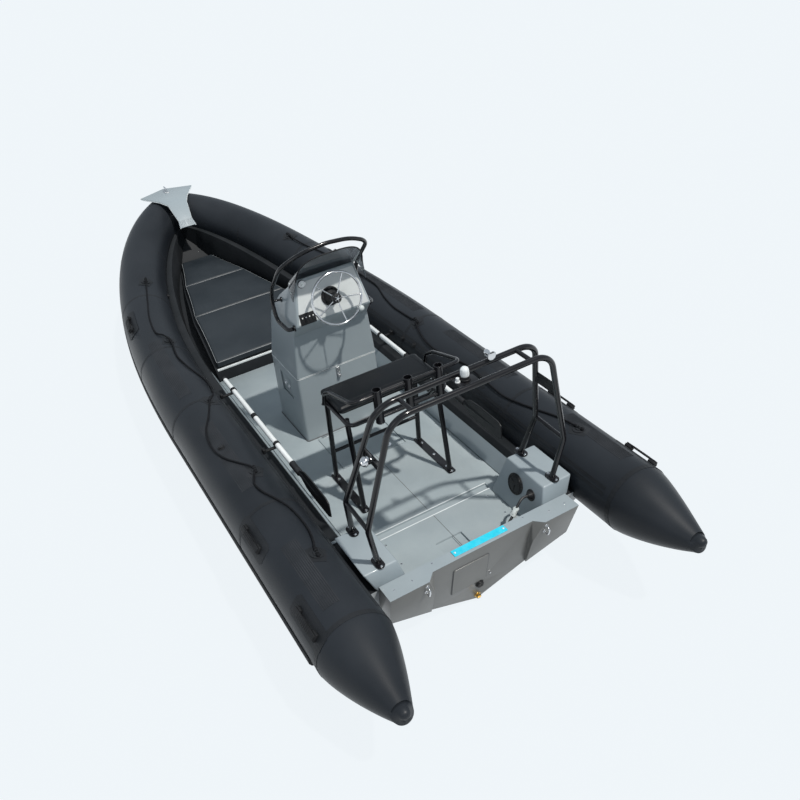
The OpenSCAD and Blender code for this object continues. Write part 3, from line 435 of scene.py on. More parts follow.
def finish(name, colour, tint, rough=0.5, metal=0.0, coat=0.0, blotch=3.0, grain=400.0, bump=0.1,
           depth=0.0002,
           roughSpread=0.12, dust=0.0, dustColour=(.5, .5, .48), wear=0.0, wearColour=(.6, .6, .6),
           threads=0.0,
           sheen=0.0, specular=0.5, stretch=(1, 1, 1), clear=0.0, glow=0.0, coatRough=0.1):
    material = bpy.data.materials.new(name)
    material.use_nodes = True
    t = material.node_tree
    shader = next(n for n in t.nodes if n.type == "BSDF_PRINCIPLED")
    place = node(t, "TexCoord").outputs["Object"]
    if tuple(stretch) != (1, 1, 1):
        place = node(t, "Mapping", [("Vector", place), ("Scale", stretch)]).outputs[0]
    mottle = node(t, "Group", node_tree=groups["mottle"])
    for label, value in (("Colour", (*colour, 1)), ("Tint", (*tint, 1)), ("Blotch", blotch),
                         ("Grain", grain)):
        mottle.inputs[label].default_value = value
    t.links.new(place, mottle.inputs["Place"])
    shade = mottle.outputs["Colour"]
    roughness = node(t, "MapRange", [("Value", mottle.outputs["Spread"]),
                                     ("To Min", max(rough - roughSpread / 2, 0.02)),
                                     ("To Max", min(rough + roughSpread / 2, 1.0))]).outputs[0]
    for kind, amount, over in (("wear", wear, wearColour), ("dust", dust, dustColour)):
        if amount:
            mask = node(t, "Group", node_tree=groups[kind])
            t.links.new(place, mask.inputs["Place"])
            mask.inputs["Amount"].default_value = amount
            shade = node(t, "Mix", [("Factor", mask.outputs[0]), (6, shade), (7, (*over, 1))],
                         data_type="RGBA").outputs[2]
            if kind == "dust":
                roughness = node(t, "Math", [(0, roughness), (1, mask.outputs[0])], operation="ADD",
                                 use_clamp=True).outputs[0]
    height = mottle.outputs["Height"]
    if threads:
        weave = node(t, "Group", node_tree=groups["weave"])
        t.links.new(place, weave.inputs["Place"])
        weave.inputs["Threads"].default_value = threads
        height = node(t, "Math", [(0, height), (1, weave.outputs[0])], operation="ADD").outputs[0]
    relief = node(t, "Bump", [("Height", height), ("Strength", bump), ("Distance", depth)])
    t.links.new(shade, shader.inputs["Base Color"])
    t.links.new(roughness, shader.inputs["Roughness"])
    t.links.new(relief.outputs[0], shader.inputs["Normal"])
    for label, value in (("Metallic", metal), ("Coat Weight", coat), ("Coat Roughness", coatRough),
                         ("Sheen Weight", sheen), ("Specular IOR Level", specular),
                         ("Transmission Weight", clear)):
        shader.inputs[label].default_value = value
    if glow:
        shader.inputs["Emission Strength"].default_value = glow
        t.links.new(shade, shader.inputs["Emission Color"])
    return material


look = {
    "cloth": finish("coated cloth", (.0085, .0105, .0135), (.0135, .0165, .021), rough=.40, blotch=1.6,
                    grain=900,
                    bump=.12, depth=.0003, roughSpread=.12, dust=.07, dustColour=(.10, .11, .125),
                    threads=260,
                    specular=.24),
    "clothPatch": finish("coated cloth patch", (.009, .0105, .0125), (.016, .018, .021), rough=.5, blotch=6,
                         grain=700,
                         bump=.25, depth=.0003, dust=.06, dustColour=(.10, .10, .11), threads=200,
                         specular=.2),
    "grip": finish("anti-slip band", (.016, .018, .021), (.030, .033, .038), rough=.7, blotch=9, grain=500,
                   bump=.5,
                   depth=.0006, threads=60, dust=.06, dustColour=(.12, .12, .13), specular=.2),
    "rubber": finish("moulded rubber", (.008, .0085, .0095), (.018, .019, .021), rough=.48, blotch=8,
                     grain=500,
                     bump=.15, depth=.0003, dust=.04, dustColour=(.12, .12, .12), specular=.15),
    "rope": finish("braided rope", (.004, .0045, .006), (.009, .010, .012), rough=.8, blotch=60, grain=900,
                   bump=.5,
                   depth=.0010, threads=110, specular=.15),
    "hull": finish("gelcoat hull", (.36, .385, .40), (.31, .335, .35), rough=.30, coat=.3, blotch=1.2,
                   grain=700,
                   bump=.05, roughSpread=.15, dust=.15, dustColour=(.33, .33, .31)),
    "deck": finish("gelcoat deck", (.255, .300, .325), (.215, .255, .280), rough=.42, coat=.12, blotch=2.2,
                   grain=600,
                   bump=.08, roughSpread=.2, dust=.15, dustColour=(.32, .34, .34)),
    "deckGrip": finish("anti-slip deck", (.265, .310, .330), (.22, .262, .283), rough=.66, blotch=3.2,
                       grain=420,
                       bump=.5, depth=.0008, threads=120, dust=.2, dustColour=(.33, .345, .34),
                       specular=.35),
    # transom gelcoat: darker grey, partly dirt and partly painted shade of the aft face; its up-facing ledge
    # gets the deck finish as transomLedge
    "transom": finish("gelcoat transom with dirt and painted shade", (.112, .113, .108), (.092, .093, .088), rough=.38, coat=.15,
                      blotch=1.8,
                      grain=500, bump=.06, dust=.1, dustColour=(.22, .22, .21)),
    "console": finish("gelcoat console", (.262, .302, .322), (.232, .270, .290), rough=.32, coat=.25,
                      blotch=1.2,
                      grain=700, bump=.05, roughSpread=.12, dust=.1, dustColour=(.33, .35, .35)),
    "dashFace": finish("gelcoat dash", (.52, .545, .545), (.47, .50, .50), rough=.24, coat=.5, blotch=1.5,
                       grain=700, bump=.04, roughSpread=.1),
    # painted shade: near-black finish for the hull's inner walls and flange under the tubes, and for the bow
    # locker
    "paintedShade": finish("painted shade near black", (.010, .012, .014), (.016, .018, .021), rough=.6, blotch=4, grain=600,
                     bump=.2,
                     threads=200, specular=.2),
    # dark line finish: joints at the deck seams and console foot, and a painted shadow line round the raised
    # mount panel
    "jointAndShadowLine": finish("dark joint and painted shadow line", (.06, .065, .07), (.10, .105, .11), rough=.7, blotch=20, grain=300,
                      bump=.2),
    # pale edge finish: bare edges, seams, strips and screw heads, and painted highlights along the gutter
    # lips
    "paleEdge": finish("pale bare edge and painted highlight", (.62, .66, .67), (.5, .54, .55), rough=.5, blotch=12, grain=300,
                       bump=.15),
    "frame": finish("gloss black coating", (.004, .004, .005), (.006, .006, .008), rough=.2, coat=.2,
                    blotch=5,
                    grain=350, bump=.05, depth=.0002, roughSpread=.08, dust=.02, dustColour=(.12, .12, .12),
                    specular=.3),
    "plastic": finish("black moulded plastic", (.008, .0085, .0095), (.015, .016, .018), rough=.42,
                      blotch=14,
                      grain=500, bump=.25, depth=.0003, dust=.05, dustColour=(.12, .12, .12), specular=.3),
    "jacket": finish("cable jacket", (.008, .0085, .009), (.018, .018, .02), rough=.45, blotch=20, grain=500,
                     bump=.2,
                     dust=.1, dustColour=(.12, .12, .12)),
    "connector": finish("grey moulded plastic", (.46, .50, .50), (.38, .42, .42), rough=.45, blotch=15,
                        grain=500,
                        bump=.15, dust=.1, dustColour=(.4, .4, .38), wear=.2, wearColour=(.6, .6, .6)),
    "vinyl": finish("charcoal vinyl", (.0135, .0180, .0225), (.0195, .0250, .0305), rough=.46, blotch=4,
                    grain=650,
                    bump=.35, depth=.0004, dust=.08, dustColour=(.09, .10, .11), specular=.22),
    "seatVinyl": finish("black seat vinyl", (.0055, .0068, .0085), (.0085, .0100, .012), rough=.36, blotch=4,
                        grain=650,
                        bump=.3, depth=.0004, dust=.03, dustColour=(.09, .10, .11), specular=.12),
    "piping": finish("pale piping", (.16, .175, .185), (.22, .235, .245), rough=.5, blotch=20, grain=500,
                     bump=.2),
    "steel": finish("polished steel", (.70, .71, .72), (.60, .61, .63), rough=.13, metal=1.0, blotch=9,
                    grain=800,
                    bump=.04, roughSpread=.1, dust=.08, dustColour=(.4, .4, .38)),
    "satin": finish("brushed steel", (.56, .57, .58), (.44, .45, .47), rough=.3, metal=1.0, blotch=12,
                    grain=500,
                    bump=.15, roughSpread=.15, stretch=(1, 1, 9)),
    "brass": finish("cast brass", (.62, .42, .14), (.42, .27, .08), rough=.32, metal=1.0, blotch=30,
                    grain=500,
                    bump=.25, wear=.4, wearColour=(.8, .6, .3)),
    "alloy": finish("white coated tube", (.66, .69, .70), (.56, .59, .60), rough=.32, blotch=6, grain=500,
                    bump=.08,
                    dust=.12, dustColour=(.5, .5, .48), wear=.3, wearColour=(.4, .4, .4)),
    "cyan": finish("cyan plastic", (.0, .50, .66), (.0, .42, .58), rough=.4, blotch=12, grain=500, bump=.18,
                   dust=.08, dustColour=(.3, .55, .6), wear=.4, wearColour=(.25, .68, .78)),
    "smoked": finish("smoked screen", (.17, .185, .20), (.14, .155, .17), rough=.05, clear=.88, blotch=3,
                     grain=300,
                     bump=.01, roughSpread=.03),
    "dome": finish("clear lens", (.86, .90, .91), (.78, .82, .84), rough=.12, clear=.35, blotch=20,
                   grain=300, bump=.04,
                   roughSpread=.06),
    "dial": finish("pale dial", (.86, .88, .87), (.80, .82, .81), rough=.25, blotch=20, grain=300, bump=.05),
    "strip": finish("grey tape", (.20, .195, .185), (.28, .27, .255), rough=.38, blotch=12, grain=400,
                    bump=.2,
                    threads=150),
}
print("finishes ready")

# camera, floor and light

view = {"place": (-2.69890, 1.76191, 3.55656), "turn": (55.547873, 5.682278, -120.253975), "lens": 37.3467,
        "floorColour": (.38, .40, .42), "floorGlow": .95, "backdrop": (.882, .932, .966),
        "sky": (.80, .90, 1.0),
        "skyStrength": .56, "sun": 3.9, "sunColour": (1, .965, .91), "sunFrom": (-2.15, -1.0, 4.2),
        "sunAngle": 2,
        "fill": 40, "fillFrom": (-3.5, 5.0, 4.5), "paintedShadeFrom": .600, "paintedShadeLow": .262}


def buildStage():
    cameraData = bpy.data.cameras.new("camera")
    cameraData.lens = view["lens"]
    cameraData.sensor_width = 36
    cameraData.clip_end = 200
    camera = bpy.data.objects.new("camera", cameraData)
    camera.location = view["place"]
    camera.rotation_euler = Euler([math.radians(a) for a in view["turn"]], "XYZ")
    bpy.context.collection.objects.link(camera)
    bpy.context.scene.camera = camera
    bpy.ops.mesh.primitive_plane_add(size=120, location=(2, 0, cadBox[0].z - 0.004))
    floor = bpy.context.object
    floor.name = "floor"
    paint = bpy.data.materials.new("floor")
    paint.use_nodes = True
    t = paint.node_tree
    shader = next(n for n in t.nodes if n.type == "BSDF_PRINCIPLED")
    shader.inputs["Base Color"].default_value = (*view["floorColour"], 1)
    shader.inputs["Roughness"].default_value = 0.9
    shader.inputs["Specular IOR Level"].default_value = 0.1
    rays = node(t, "LightPath")
    seen = node(t, "Math", [(0, rays.outputs["Is Camera Ray"]), (1, rays.outputs["Is Glossy Ray"])],
                operation="MAXIMUM")
    seen = node(t, "Math", [(0, seen.outputs[0]), (1, rays.outputs["Is Transmission Ray"])],
                operation="MAXIMUM")
    glow = node(t, "Emission", [("Color", (*view["backdrop"], 1)), ("Strength", 1.0)])
    share = node(t, "Math", [(0, seen.outputs[0]), (1, view["floorGlow"])], operation="MULTIPLY")
    mix = node(t, "MixShader", [(0, share.outputs[0]), (1, shader.outputs[0]), (2, glow.outputs[0])])
    t.links.new(mix.outputs[0], next(n for n in t.nodes if n.type == "OUTPUT_MATERIAL").inputs["Surface"])
    floor.data.materials.append(paint)
    world = bpy.data.worlds.new("studio")
    world.use_nodes = True
    ground = next(n for n in world.node_tree.nodes if n.type == "BACKGROUND")
    ground.inputs["Color"].default_value = (*view["sky"], 1)
    ground.inputs["Strength"].default_value = view["skyStrength"]
    bpy.context.scene.world = world
    for name, kind, power, place, size in (("sun", "SUN", view["sun"], view["sunFrom"], 0),
                                           ("fill", "AREA", view["fill"], view["fillFrom"], 3.0)):
        light = bpy.data.lights.new(name, kind)
        light.energy = power
        if kind == "SUN":
            light.angle = math.radians(view["sunAngle"])
            light.color = view["sunColour"]
        else:
            light.size = size
        lamp = bpy.data.objects.new(name, light)
        lamp.location = Vector(place)
        target = Vector((0, 0, 0)) if kind == "SUN" else Vector((1.6, 0, .4))
        lamp.rotation_euler = (target - lamp.location).to_track_quat("-Z", "Y").to_euler()
        bpy.context.collection.objects.link(lamp)
    bpy.context.scene.view_settings.view_transform = "Standard"


buildStage()
print("stage ready")

# engine cable, the one free cord

cable = {"route": [(228, -430.8, 336), (228, -407, 340), (225, -385, 338), (219, -362, 325),
                   (212, -340, 305),
                   (205, -318, 285), (199, -296, 266), (194, -274, 247), (190, -252, 227), (188, -230, 208),
                   (188, -208, 190), (190, -186, 174), (196, -163, 163), (204, -141, 159.3),
                   (215, -120, 159.3),
                   (228, -100, 159.3), (237, -79, 159.3), (240, -57, 159.3), (236, -36, 159.3)],
         "radius": .008, "plugEnd": (.224, .004, .1593)}


def buildCable():
    route = [Vector(p) / 1000 for p in cable["route"]]
    line = softened(route, 3)
    flex = pipe(line, cable["radius"], 6)
    done(flex, "engineCable", "jacket", replaces=["engine_cable"])
    along = (route[6] - route[4]).normalized()
    middle = (route[4] + route[6]) / 2
    across = along.cross(Vector((0, 0, 1))).normalized()
    up = across.cross(along)
    turn = Matrix((across, along, up)).transposed().to_4x4()
    parts = [box((-.013, -.026, -.011), (.013, .026, .012), .003),
             box((-.017, -.030, -.006), (.017, -.012, .0075), .002),
             box((-.0155, .008, -.009), (.0155, .026, .010), .002),
             box((-.006, -.012, .009), (.006, .014, .0145), .0015)]
    for x in (-.009, .009):
        parts.append(rod((x, -.036, 0), (x, -.026, 0), .004, .001, 16))
    block = placed(join(parts), Matrix.Translation(middle) @ turn)
    done(smooth(block), "cableConnector", "connector", replaces=["cable_connector"])
    start, end = route[-1], Vector(cable["plugEnd"])
    step = (end - start).normalized()
    plug = join([rod(start - step * .004, start + step * .018, .0086, .001),
                 rod(start + step * .018, end, .0080, .001),
                 rod(start + step * .006, start + step * .010, .0092, .0005)])
    done(plug, "cablePlug", "plastic")


buildCable()
print("cable ready")

# collar

collar = {"radius": .211, "bowRadius": .195, "halfBeam": .898, "height": .335, "straight": 2.131,
          "bow": 3.26,
          "pull": .7225, "turn": 32, "handle": .378, "joinHalf": .056, "riseStart": .674, "rise": .307,
          "risePower": 2.309, "overhang": .154, "cone": .5, "coneRise": .042, "tip": .034, "around": 30}
joinX = collar["straight"] + collar["bow"]


def bezier(points, t):
    a, b, c, d = (Vector(p) for p in points)
    return a * (1 - t) ** 3 + b * 3 * t * (1 - t) ** 2 + c * 3 * t * t * (1 - t) + d * t ** 3


def bowPlan(t):
    turn = math.radians(collar["turn"])
    return bezier([(collar["straight"], collar["halfBeam"]),
                   (collar["straight"] + collar["pull"] * collar["bow"], collar["halfBeam"]),
                   (joinX - collar["handle"] * math.sin(turn),
                    collar["joinHalf"] + collar["handle"] * math.cos(turn)),
                   (joinX, collar["joinHalf"])], t)


def bowCentre(t):
    q = bowPlan(t)
    past = max(q.x - collar["straight"] - collar["riseStart"], 0) / (collar["bow"] - collar["riseStart"])
    return Vector((q.x, q.y, collar["height"] + collar["rise"] * past ** collar["risePower"]))


def inboardAt(t):
    d = bowPlan(min(t + .005, 1)) - bowPlan(max(t - .005, 0))
    return Vector((d.y, -d.x, 0)).normalized()


shares = np.linspace(0, 1, 401)
centres = [bowCentre(t) for t in shares]
runs = np.concatenate([[0], np.cumsum([(b - a).length for a, b in zip(centres, centres[1:])])])


# run in metres ahead of the straight tube's end; angle 0 inboard, -90 top
def onCollar(run, angle, lift=0.0):
    a = math.radians(angle)
    if run < 0:
        centre, inboard, r = Vector((collar["straight"] + run, collar["halfBeam"],
                                     collar["height"])), Vector((0, -1, 0)), collar["radius"]
    else:
        t = float(np.interp(run, runs, shares))
        centre, inboard = bowCentre(t), inboardAt(t)
        r = collar["radius"] + (collar["bowRadius"] - collar["radius"]) * t
    return centre + (r + lift) * (inboard * math.cos(a) - Vector((0, 0, 1)) * math.sin(a))


def runOf(place):  # the CAD's place along the collar: millimetres below zero, share of the bow above
    return place / 1000 if place < 0 else float(np.interp(place, shares, runs))


def wrapped(obj, run, angle, side, lift=0.0, turn=0.0):  # bends a flat piece onto the collar
    c, s = math.cos(math.radians(turn)), math.sin(math.radians(turn))
    for v in obj.data.vertices:
        x, y = v.co.x * c - v.co.y * s, v.co.x * s + v.co.y * c
        p = onCollar(run + x, angle - math.degrees(y / collar["radius"]), lift + v.co.z)
        v.co = (p.x, p.y * side, p.z)
    return outward(obj)


def coneRoute():
    points, radii = [], []
    for k in range(31):
        t = 1 - k / 30
        s = math.sin(math.pi / 2 * t)
        r = collar["radius"] + (collar["tip"] - collar["radius"]) * s ** 1.3
        if k == 0:
            for x, share in ((0, .30), (.006, .62), (.016, .84)):
                points.append(Vector((-collar["overhang"] - collar["cone"] + x, collar["halfBeam"],
                                      collar["height"] + collar["coneRise"])))
                radii.append(r * share)
            points.append(Vector((-collar["overhang"] - collar["cone"] + .030, collar["halfBeam"],
                                  collar["height"] + collar["coneRise"] * .995)))
            radii.append(r)
            continue
        x = -collar["overhang"] - collar["cone"] * s
        if x < -collar["overhang"] - collar["cone"] + .034:
            continue
        points.append(Vector((x, collar["halfBeam"], collar["height"] + collar["coneRise"] * t * t)))
        radii.append(r)
    return points, radii


def buildCollar():
    points, radii = coneRoute()
    for k in range(1, 24):
        points.append(Vector((-collar["overhang"] + (collar["straight"] + collar["overhang"]) * k / 24,
                              collar["halfBeam"], collar["height"])))
        radii.append(collar["radius"])
    for k in range(73):
        t = k / 72
        points.append(bowCentre(t))
        radii.append(collar["radius"] + (collar["bowRadius"] - collar["radius"]) * t)
    turn = math.radians(collar["turn"])
    for k in range(1, 6):
        points.append(bowCentre(1) + Vector((math.sin(turn), -math.cos(turn), 0)) * .052 * k)
        radii.append(collar["bowRadius"])
    tube = pipe(points, radii, collar["around"])
    edited(tube, ("bisect", {"plane_co": (0, .0002, 0), "plane_no": (0, 1, 0), "clear_inner": True,
                             "use_fill": True}))
    smooth(tube, 40)
    other = mirrored(tube)
    done(tube, "collarPort", "cloth", replaces=["side_tube_port", "bow_tube_port",
                                                               "stern_cones"])
    done(other, "collarStarboard", "cloth",
         replaces=["side_tube_starboard", "bow_tube_starboard", "stern_cones"])


buildCollar()
print("collar ready")

# hull mouldings

pads = {"x": [2.900, 3.750, 4.390, 4.930], "half": [.520, .410, .285, .152], "z": (.2603, .320),
        "gap": .0015,
        "names": ["cushionRear", "cushionMiddle", "cushionFront"],
        "nodes": ["bow_cushion_rear", "bow_cushion_middle", "bow_cushion_front"]}


mouldings = [("deck", .0025, 2, "deck", "deckGrip", "gelcoat_deck"),
             ("deck_hatch", .004, 3, "deckHatch", "deckGrip", "gelcoat_deck"),
             ("aft_side_boxes", .010, 4, "sternBoxes", "deck", "gelcoat_deck"),
             ("transom", .004, 3, "transom", "transom", "gelcoat_transom"),
             # the bow locker takes the near-black painted shade finish
             ("bow_locker", .006, 3, "bowLocker", "paintedShade", "gelcoat_deck")]


def skinOver(node, pick, thick=.0014):  # thin closed skin over the chosen faces of a node
    skin = cadCopy(node)
    activate(skin)
    bpy.ops.object.mode_set(mode="EDIT")
    bpy.ops.mesh.select_mode(type="FACE")
    bpy.ops.mesh.select_all(action="DESELECT")
    bpy.ops.object.mode_set(mode="OBJECT")
    for face in skin.data.polygons:
        face.select = not pick(face)
    bpy.ops.object.mode_set(mode="EDIT")
    bpy.ops.mesh.delete(type="FACE")
    bpy.ops.mesh.select_mode(type="VERT")
    bpy.ops.object.mode_set(mode="OBJECT")
    modify(skin, "SOLIDIFY", thickness=thick, offset=1)
    return smooth(skin, 32)


def buildHull():
    done(cadCopy("rigid_hull", .003), "hull", "hull", replaces=["rigid_hull"])
    # near-black skin over the hull's upper inner faces forward of the start point in view: painted shade
    # under the tubes
    done(skinOver("rigid_hull", lambda f: f.center.x > view["paintedShadeFrom"] and f.center.z > .12
                  and f.normal.z > -.2 and f.normal.x < .5
                  and f.normal.y * math.copysign(1, f.center.y) < .25), "hullPaintedShade", "paintedShade")
    done(skinOver("transom", lambda f: f.normal.z > .5), "transomLedge", "deck")
    aft, fore, lip = (view["paintedShadeFrom"], 0, 0), (pads["x"][0], 0, 0), (0, 0, view["paintedShadeLow"])
    ahead, astern, up, down = (-1, 0, 0), (1, 0, 0), (0, 0, 1), (0, 0, -1)
    pale = [cutBy(cutBy(cadCopy("inner_sides", .002), lip, up), fore, astern),
            cutBy(cutBy(cadCopy("inner_sides", .002), lip, down), aft, astern)]
    # inner walls above the ledge line from x .6 forward, and all of the wall ahead of the bow locker, get
    # painted shade; the rest keeps the deck colour
    dark = [cutBy(cutBy(cadCopy("inner_sides", .002), lip, down), aft, ahead),
            cutBy(cutBy(cadCopy("inner_sides", .002), lip, up), fore, ahead)]
    done(smooth(join(pale), 32), "innerSides", "deck", replaces=["inner_sides"])
    done(smooth(join(dark), 32), "sidePaintedShade", "paintedShade", replaces=["inner_sides"])
    for source, edge, segments, name, finishName, slot in mouldings:
        done(cadCopy(source, edge, segments), name, finishName, replaces=[source])
    low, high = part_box("bow_locker")
    edge = box((low.x - .0015, -pads["half"][0] - .012, high.z - .016),
               (low.x + .012, pads["half"][0] + .012, high.z + .0002), .003, 3)
    done(edge, "lockerEdge", "paleEdge")
    done(cadCopy("bow_plate", .0025), "bowPlate", "deck", replaces=["bow_plate"])


buildHull()

deckLines = {"top": .1504, "width": .0035, "gutter": (.600, .650, .42), "hatch": (1.33, 1.722, .235),
             "seams": [((.19, .0), (.595, .0)), ((.655, .0), (1.32, .0)), ((.655, -.30), (.655, .30))]}


def buildDeckDetails():
    top = deckLines["top"]
    x0, x1, half = deckLines["gutter"]
    # pale strips on both lips of the gutter: painted highlight
    parts = [box((x0 - .007, -half, top - .001), (x0 - .001, half, top + .0012), .0005),
             box((x1 + .001, -half, top - .001), (x1 + .007, half, top + .0012), .0005)]
    done(parts, "gutterHighlights", "paleEdge")
    done(box((x0 + .002, -half + .002, .1385), (x1 - .002, half - .002, .1392), .0002), "gutterFloor",
         "console")
    lines = []
    for (ax, ay), (bx, by) in deckLines["seams"]:
        w = deckLines["width"] / 2
        lines.append(box((min(ax, bx) - w, min(ay, by) - w, top - .001),
                         (max(ax, bx) + w, max(ay, by) + w, top + .0004),
                         .0002))
    done(lines, "deckSeams", "jointAndShadowLine")
    x0, x1, half = deckLines["hatch"]
    catches = []
    for y in (-.13, .13):
        catches.append(rod((x0 + .045, y, .1487), (x0 + .045, y, .1515), .022, .0012))
        catches.append(box((x0 + .032, y - .003, .151), (x0 + .058, y + .003, .1532), .0008))
    for y in (-.17, .17):
        catches.append(box((x1 - .012, y - .035, .149), (x1 + .022, y + .035, .1522), .0008))
    done(catches, "hatchCatches", "steel")
    screws = []
    for x in (.215, .36, .54):
        for y in (-.36, .36):
            screws.append(rod((x, y, top - .001), (x, y, top + .0016), .006, .0006, 16))
    done(screws, "deckScrews", "steel")


buildDeckDetails()


def onEngineFace(y, z, lift=0.0):  # frame with X to starboard, Y up the face and Z out of it
    up = Vector((-.217, 0, 1)).normalized()
    out = Vector((-1, 0, -.217)).normalized()
    turn = Matrix((up.cross(out), up, out)).transposed().to_4x4()
    return Matrix.Translation(Vector((.05 + .217 * (.33 - z), y, z)) + out * lift) @ turn


stern = {"panel": (.231, .236, .012), "panelAt": (.0745, .118), "outlet": (-.004, -.032),
         "drain": -.143, "eyeZ": .268, "eyeY": .392}


def buildSternDetails():
    wide, tall, corner = stern["panel"]
    raised = flatShape(roundedOutline(wide, tall, corner), .0045, .002)
    done(smooth(placed(raised, onEngineFace(*stern["panelAt"]))), "mountPanel", "transom")
    # a dark rim a little wider than the raised panel, laid under it: painted shadow line round its edges
    shadow = flatShape(roundedOutline(wide + .011, tall + .011, corner + .004), .0012, .0004)
    done(smooth(placed(shadow, onEngineFace(*stern["panelAt"]))), "mountPanelShadowLine", "jointAndShadowLine")
    low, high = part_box("engine_pad")
    pad = box(low, high, .002, 3)
    done(pad, "enginePad", "cyan", replaces=["engine_pad"])
    screws = []
    for y in (-.160, .160):
        screws.append(rod((.094, y, high.z - .001), (.094, y, high.z + .0018), .0062, .0008, 20))
        screws.append(ball((.094, y, high.z + .0012), .0045, .5, sides=16))
    done(screws, "padScrews", "paleEdge")
    outlet = []
    face = onEngineFace(*stern["outlet"], -.0025)
    flange = flatShape(circleOutline(.0265, 40), .006, .002)
    outlet.append(placed(flange, face))
    for r, z0, z1 in ((.0235, .005, .0155), (.0215, .0155, .0185)):
        outlet.append(placed(rod((0, 0, z0), (0, 0, z1), r, .0012, 40), face))
    for k in range(5):
        outlet.append(placed(box((-.016, -.0145 + .0066 * k, .0183), (.016, -.0115 + .0066 * k, .0200),
                                 .0006), face))
    for k in range(6):
        a = math.radians(60 * k + 30)
        outlet.append(placed(rod((.0245 * math.cos(a), .0245 * math.sin(a), .004),
                                 (.0245 * math.cos(a), .0245 * math.sin(a), .0075),
                                 .0022, .0004, 12), face))
    done(smooth(join(outlet)), "bilgeOutlet", "plastic", replaces=["bilge_outlet"])
    face = onEngineFace(0, stern["drain"])
    plug = onFace(face, rod((0, 0, -.004), (0, 0, .0035), .021, .0008, 40),
                  rod((0, 0, .0035), (0, 0, .010), .0125, .0006, 32),
                  rod((0, 0, .010), (0, 0, .020), .0168, .0014, 6),
                  box((-.010, -.003, .0195), (.010, .003, .0245), .001))
    done(plug, "drainPlug", "brass", replaces=["drain_plug"])
    tab = placed(rod((0, 0, 0), (0, 0, .006), .006, .001, 20), onEngineFace(-.070, .030))
    done(tab, "transomScrew", "steel")
    eyes = []
    lean = math.radians(17.6)
    for side in (-1, 1):
        at = Vector((.3175 * (.33 - stern["eyeZ"]), side * stern["eyeY"], stern["eyeZ"]))
        turn = Matrix.Translation(at) @ Matrix.Rotation(-lean, 4, "Y")
        route = bends([(.002, 0, .030), (-.036, 0, .030), (-.036, 0, -.030), (.002, 0, -.030)], .026, 8)
        eyes.append(placed(pipe(route, .0048, 4), turn))
        for z in (-.030, .030):
            eyes.append(placed(rod((.001, 0, z), (-.004, 0, z), .0105, .001, 24), turn))
            eyes.append(placed(rod((-.004, 0, z), (-.0085, 0, z), .0082, .0008, 6), turn))
    done(eyes, "transomEyes", "steel", replaces=["transom_eyes"])
    screws = []
    for y in (-.56, -.45, -.30, .30, .45, .56):
        screws.append(rod((.105 if abs(y) < .4 else .06, y, .3295), (.105 if abs(y) < .4 else .06, y, .3318),
                          .0055, .0008, 16))
    done(screws, "ledgeScrews", "steel")


buildSternDetails()

boxFace = {"lower": (.410, .150), "upper": (.480, .430), "cover": (.372, .318), "boot": (.228, .330)}


def onBox(x, z, lift=0.0):  # starboard box's sloping inner side: X forward, Z out of the face
    (y0, z0), (y1, z1) = boxFace["lower"], boxFace["upper"]
    y = y0 + (y1 - y0) * (z - z0) / (z1 - z0)
    up = Vector((0, -(y1 - y0), z1 - z0)).normalized()
    out = Vector((0, up.z, -up.y))
    turn = Matrix((Vector((1, 0, 0)), -up, out)).transposed().to_4x4()
    if turn.determinant() < 0:
        turn = Matrix((Vector((1, 0, 0)), up, out)).transposed().to_4x4()
    return Matrix.Translation(Vector((x, -y, z)) + out * lift) @ turn


def buildBoxFittings():
    face = onBox(*boxFace["cover"])
    cover = onFace(face, rod((0, 0, .0003), (0, 0, .006), .068, .002, 64),
                   rod((0, 0, .006), (0, 0, .0095), .050, .0015, 48),
                   ringOf((0, 0, .0075), (0, 0, 1), .056, .0022, 64, 8))
    for k in range(18):
        a = 2 * math.pi * k / 18
        p = Vector((.060 * math.cos(a), .060 * math.sin(a), 0))
        cover.append(placed(rod(p + Vector((0, 0, .004)), p + Vector((0, 0, .0085)), .0048, .001, 12), face))
    for k in range(3):
        a = 2 * math.pi * k / 3
        bar = box((-.004, .008, .009), (.004, .044, .0125), .001)
        cover.append(placed(bar, face @ Matrix.Rotation(a, 4, "Z")))
    done(smooth(join(cover)), "inspectionCover", "plastic",
         replaces=["inspection_cover"])
    face = onBox(*boxFace["boot"])
    boot = onFace(face, rod((0, 0, .0003), (0, 0, .006), .036, .002, 48))
    for k in range(5):
        z, r = .006 + .0045 * k, .027 - .0030 * k
        boot.append(placed(rod((0, 0, z), (0, 0, z + .0045), r, .0012, 40, r - .0012), face))
    for k in range(4):
        a = math.radians(90 * k + 45)
        p = Vector((.0305 * math.cos(a), .0305 * math.sin(a), 0))
        boot.append(placed(rod(p + Vector((0, 0, .005)), p + Vector((0, 0, .0085)), .0036, .0006, 12), face))
    done(smooth(join(boot)), "riggingBoot", "plastic", replaces=["rigging_boot"])


buildBoxFittings()
print("hull mouldings ready")

# tube frames

seat = {"ringX": (.862, 1.240), "half": .332, "ringZ": .806, "ringR": .0125, "frameR": .016,
        "legs": ((1.275, 1.225), (.893, .955)),
        "legY": .314, "baseZ": (.1507, .1587), "footrest": .371, "holderX": .730, "holderY": .199,
        "rail": 1.046,
        "armY": .351, "holderZ": (.858, 1.078), "holderR": .025}


def bolt(place, axis=(0, 0, 1), size=.006):
    a = Vector(place)
    d = Vector(axis).normalized()
    return [rod(a, a + d * size * .25, size * 1.5, size * .1, 24),
            rod(a + d * size * .25, a + d * size, size, size * .18, 6)]


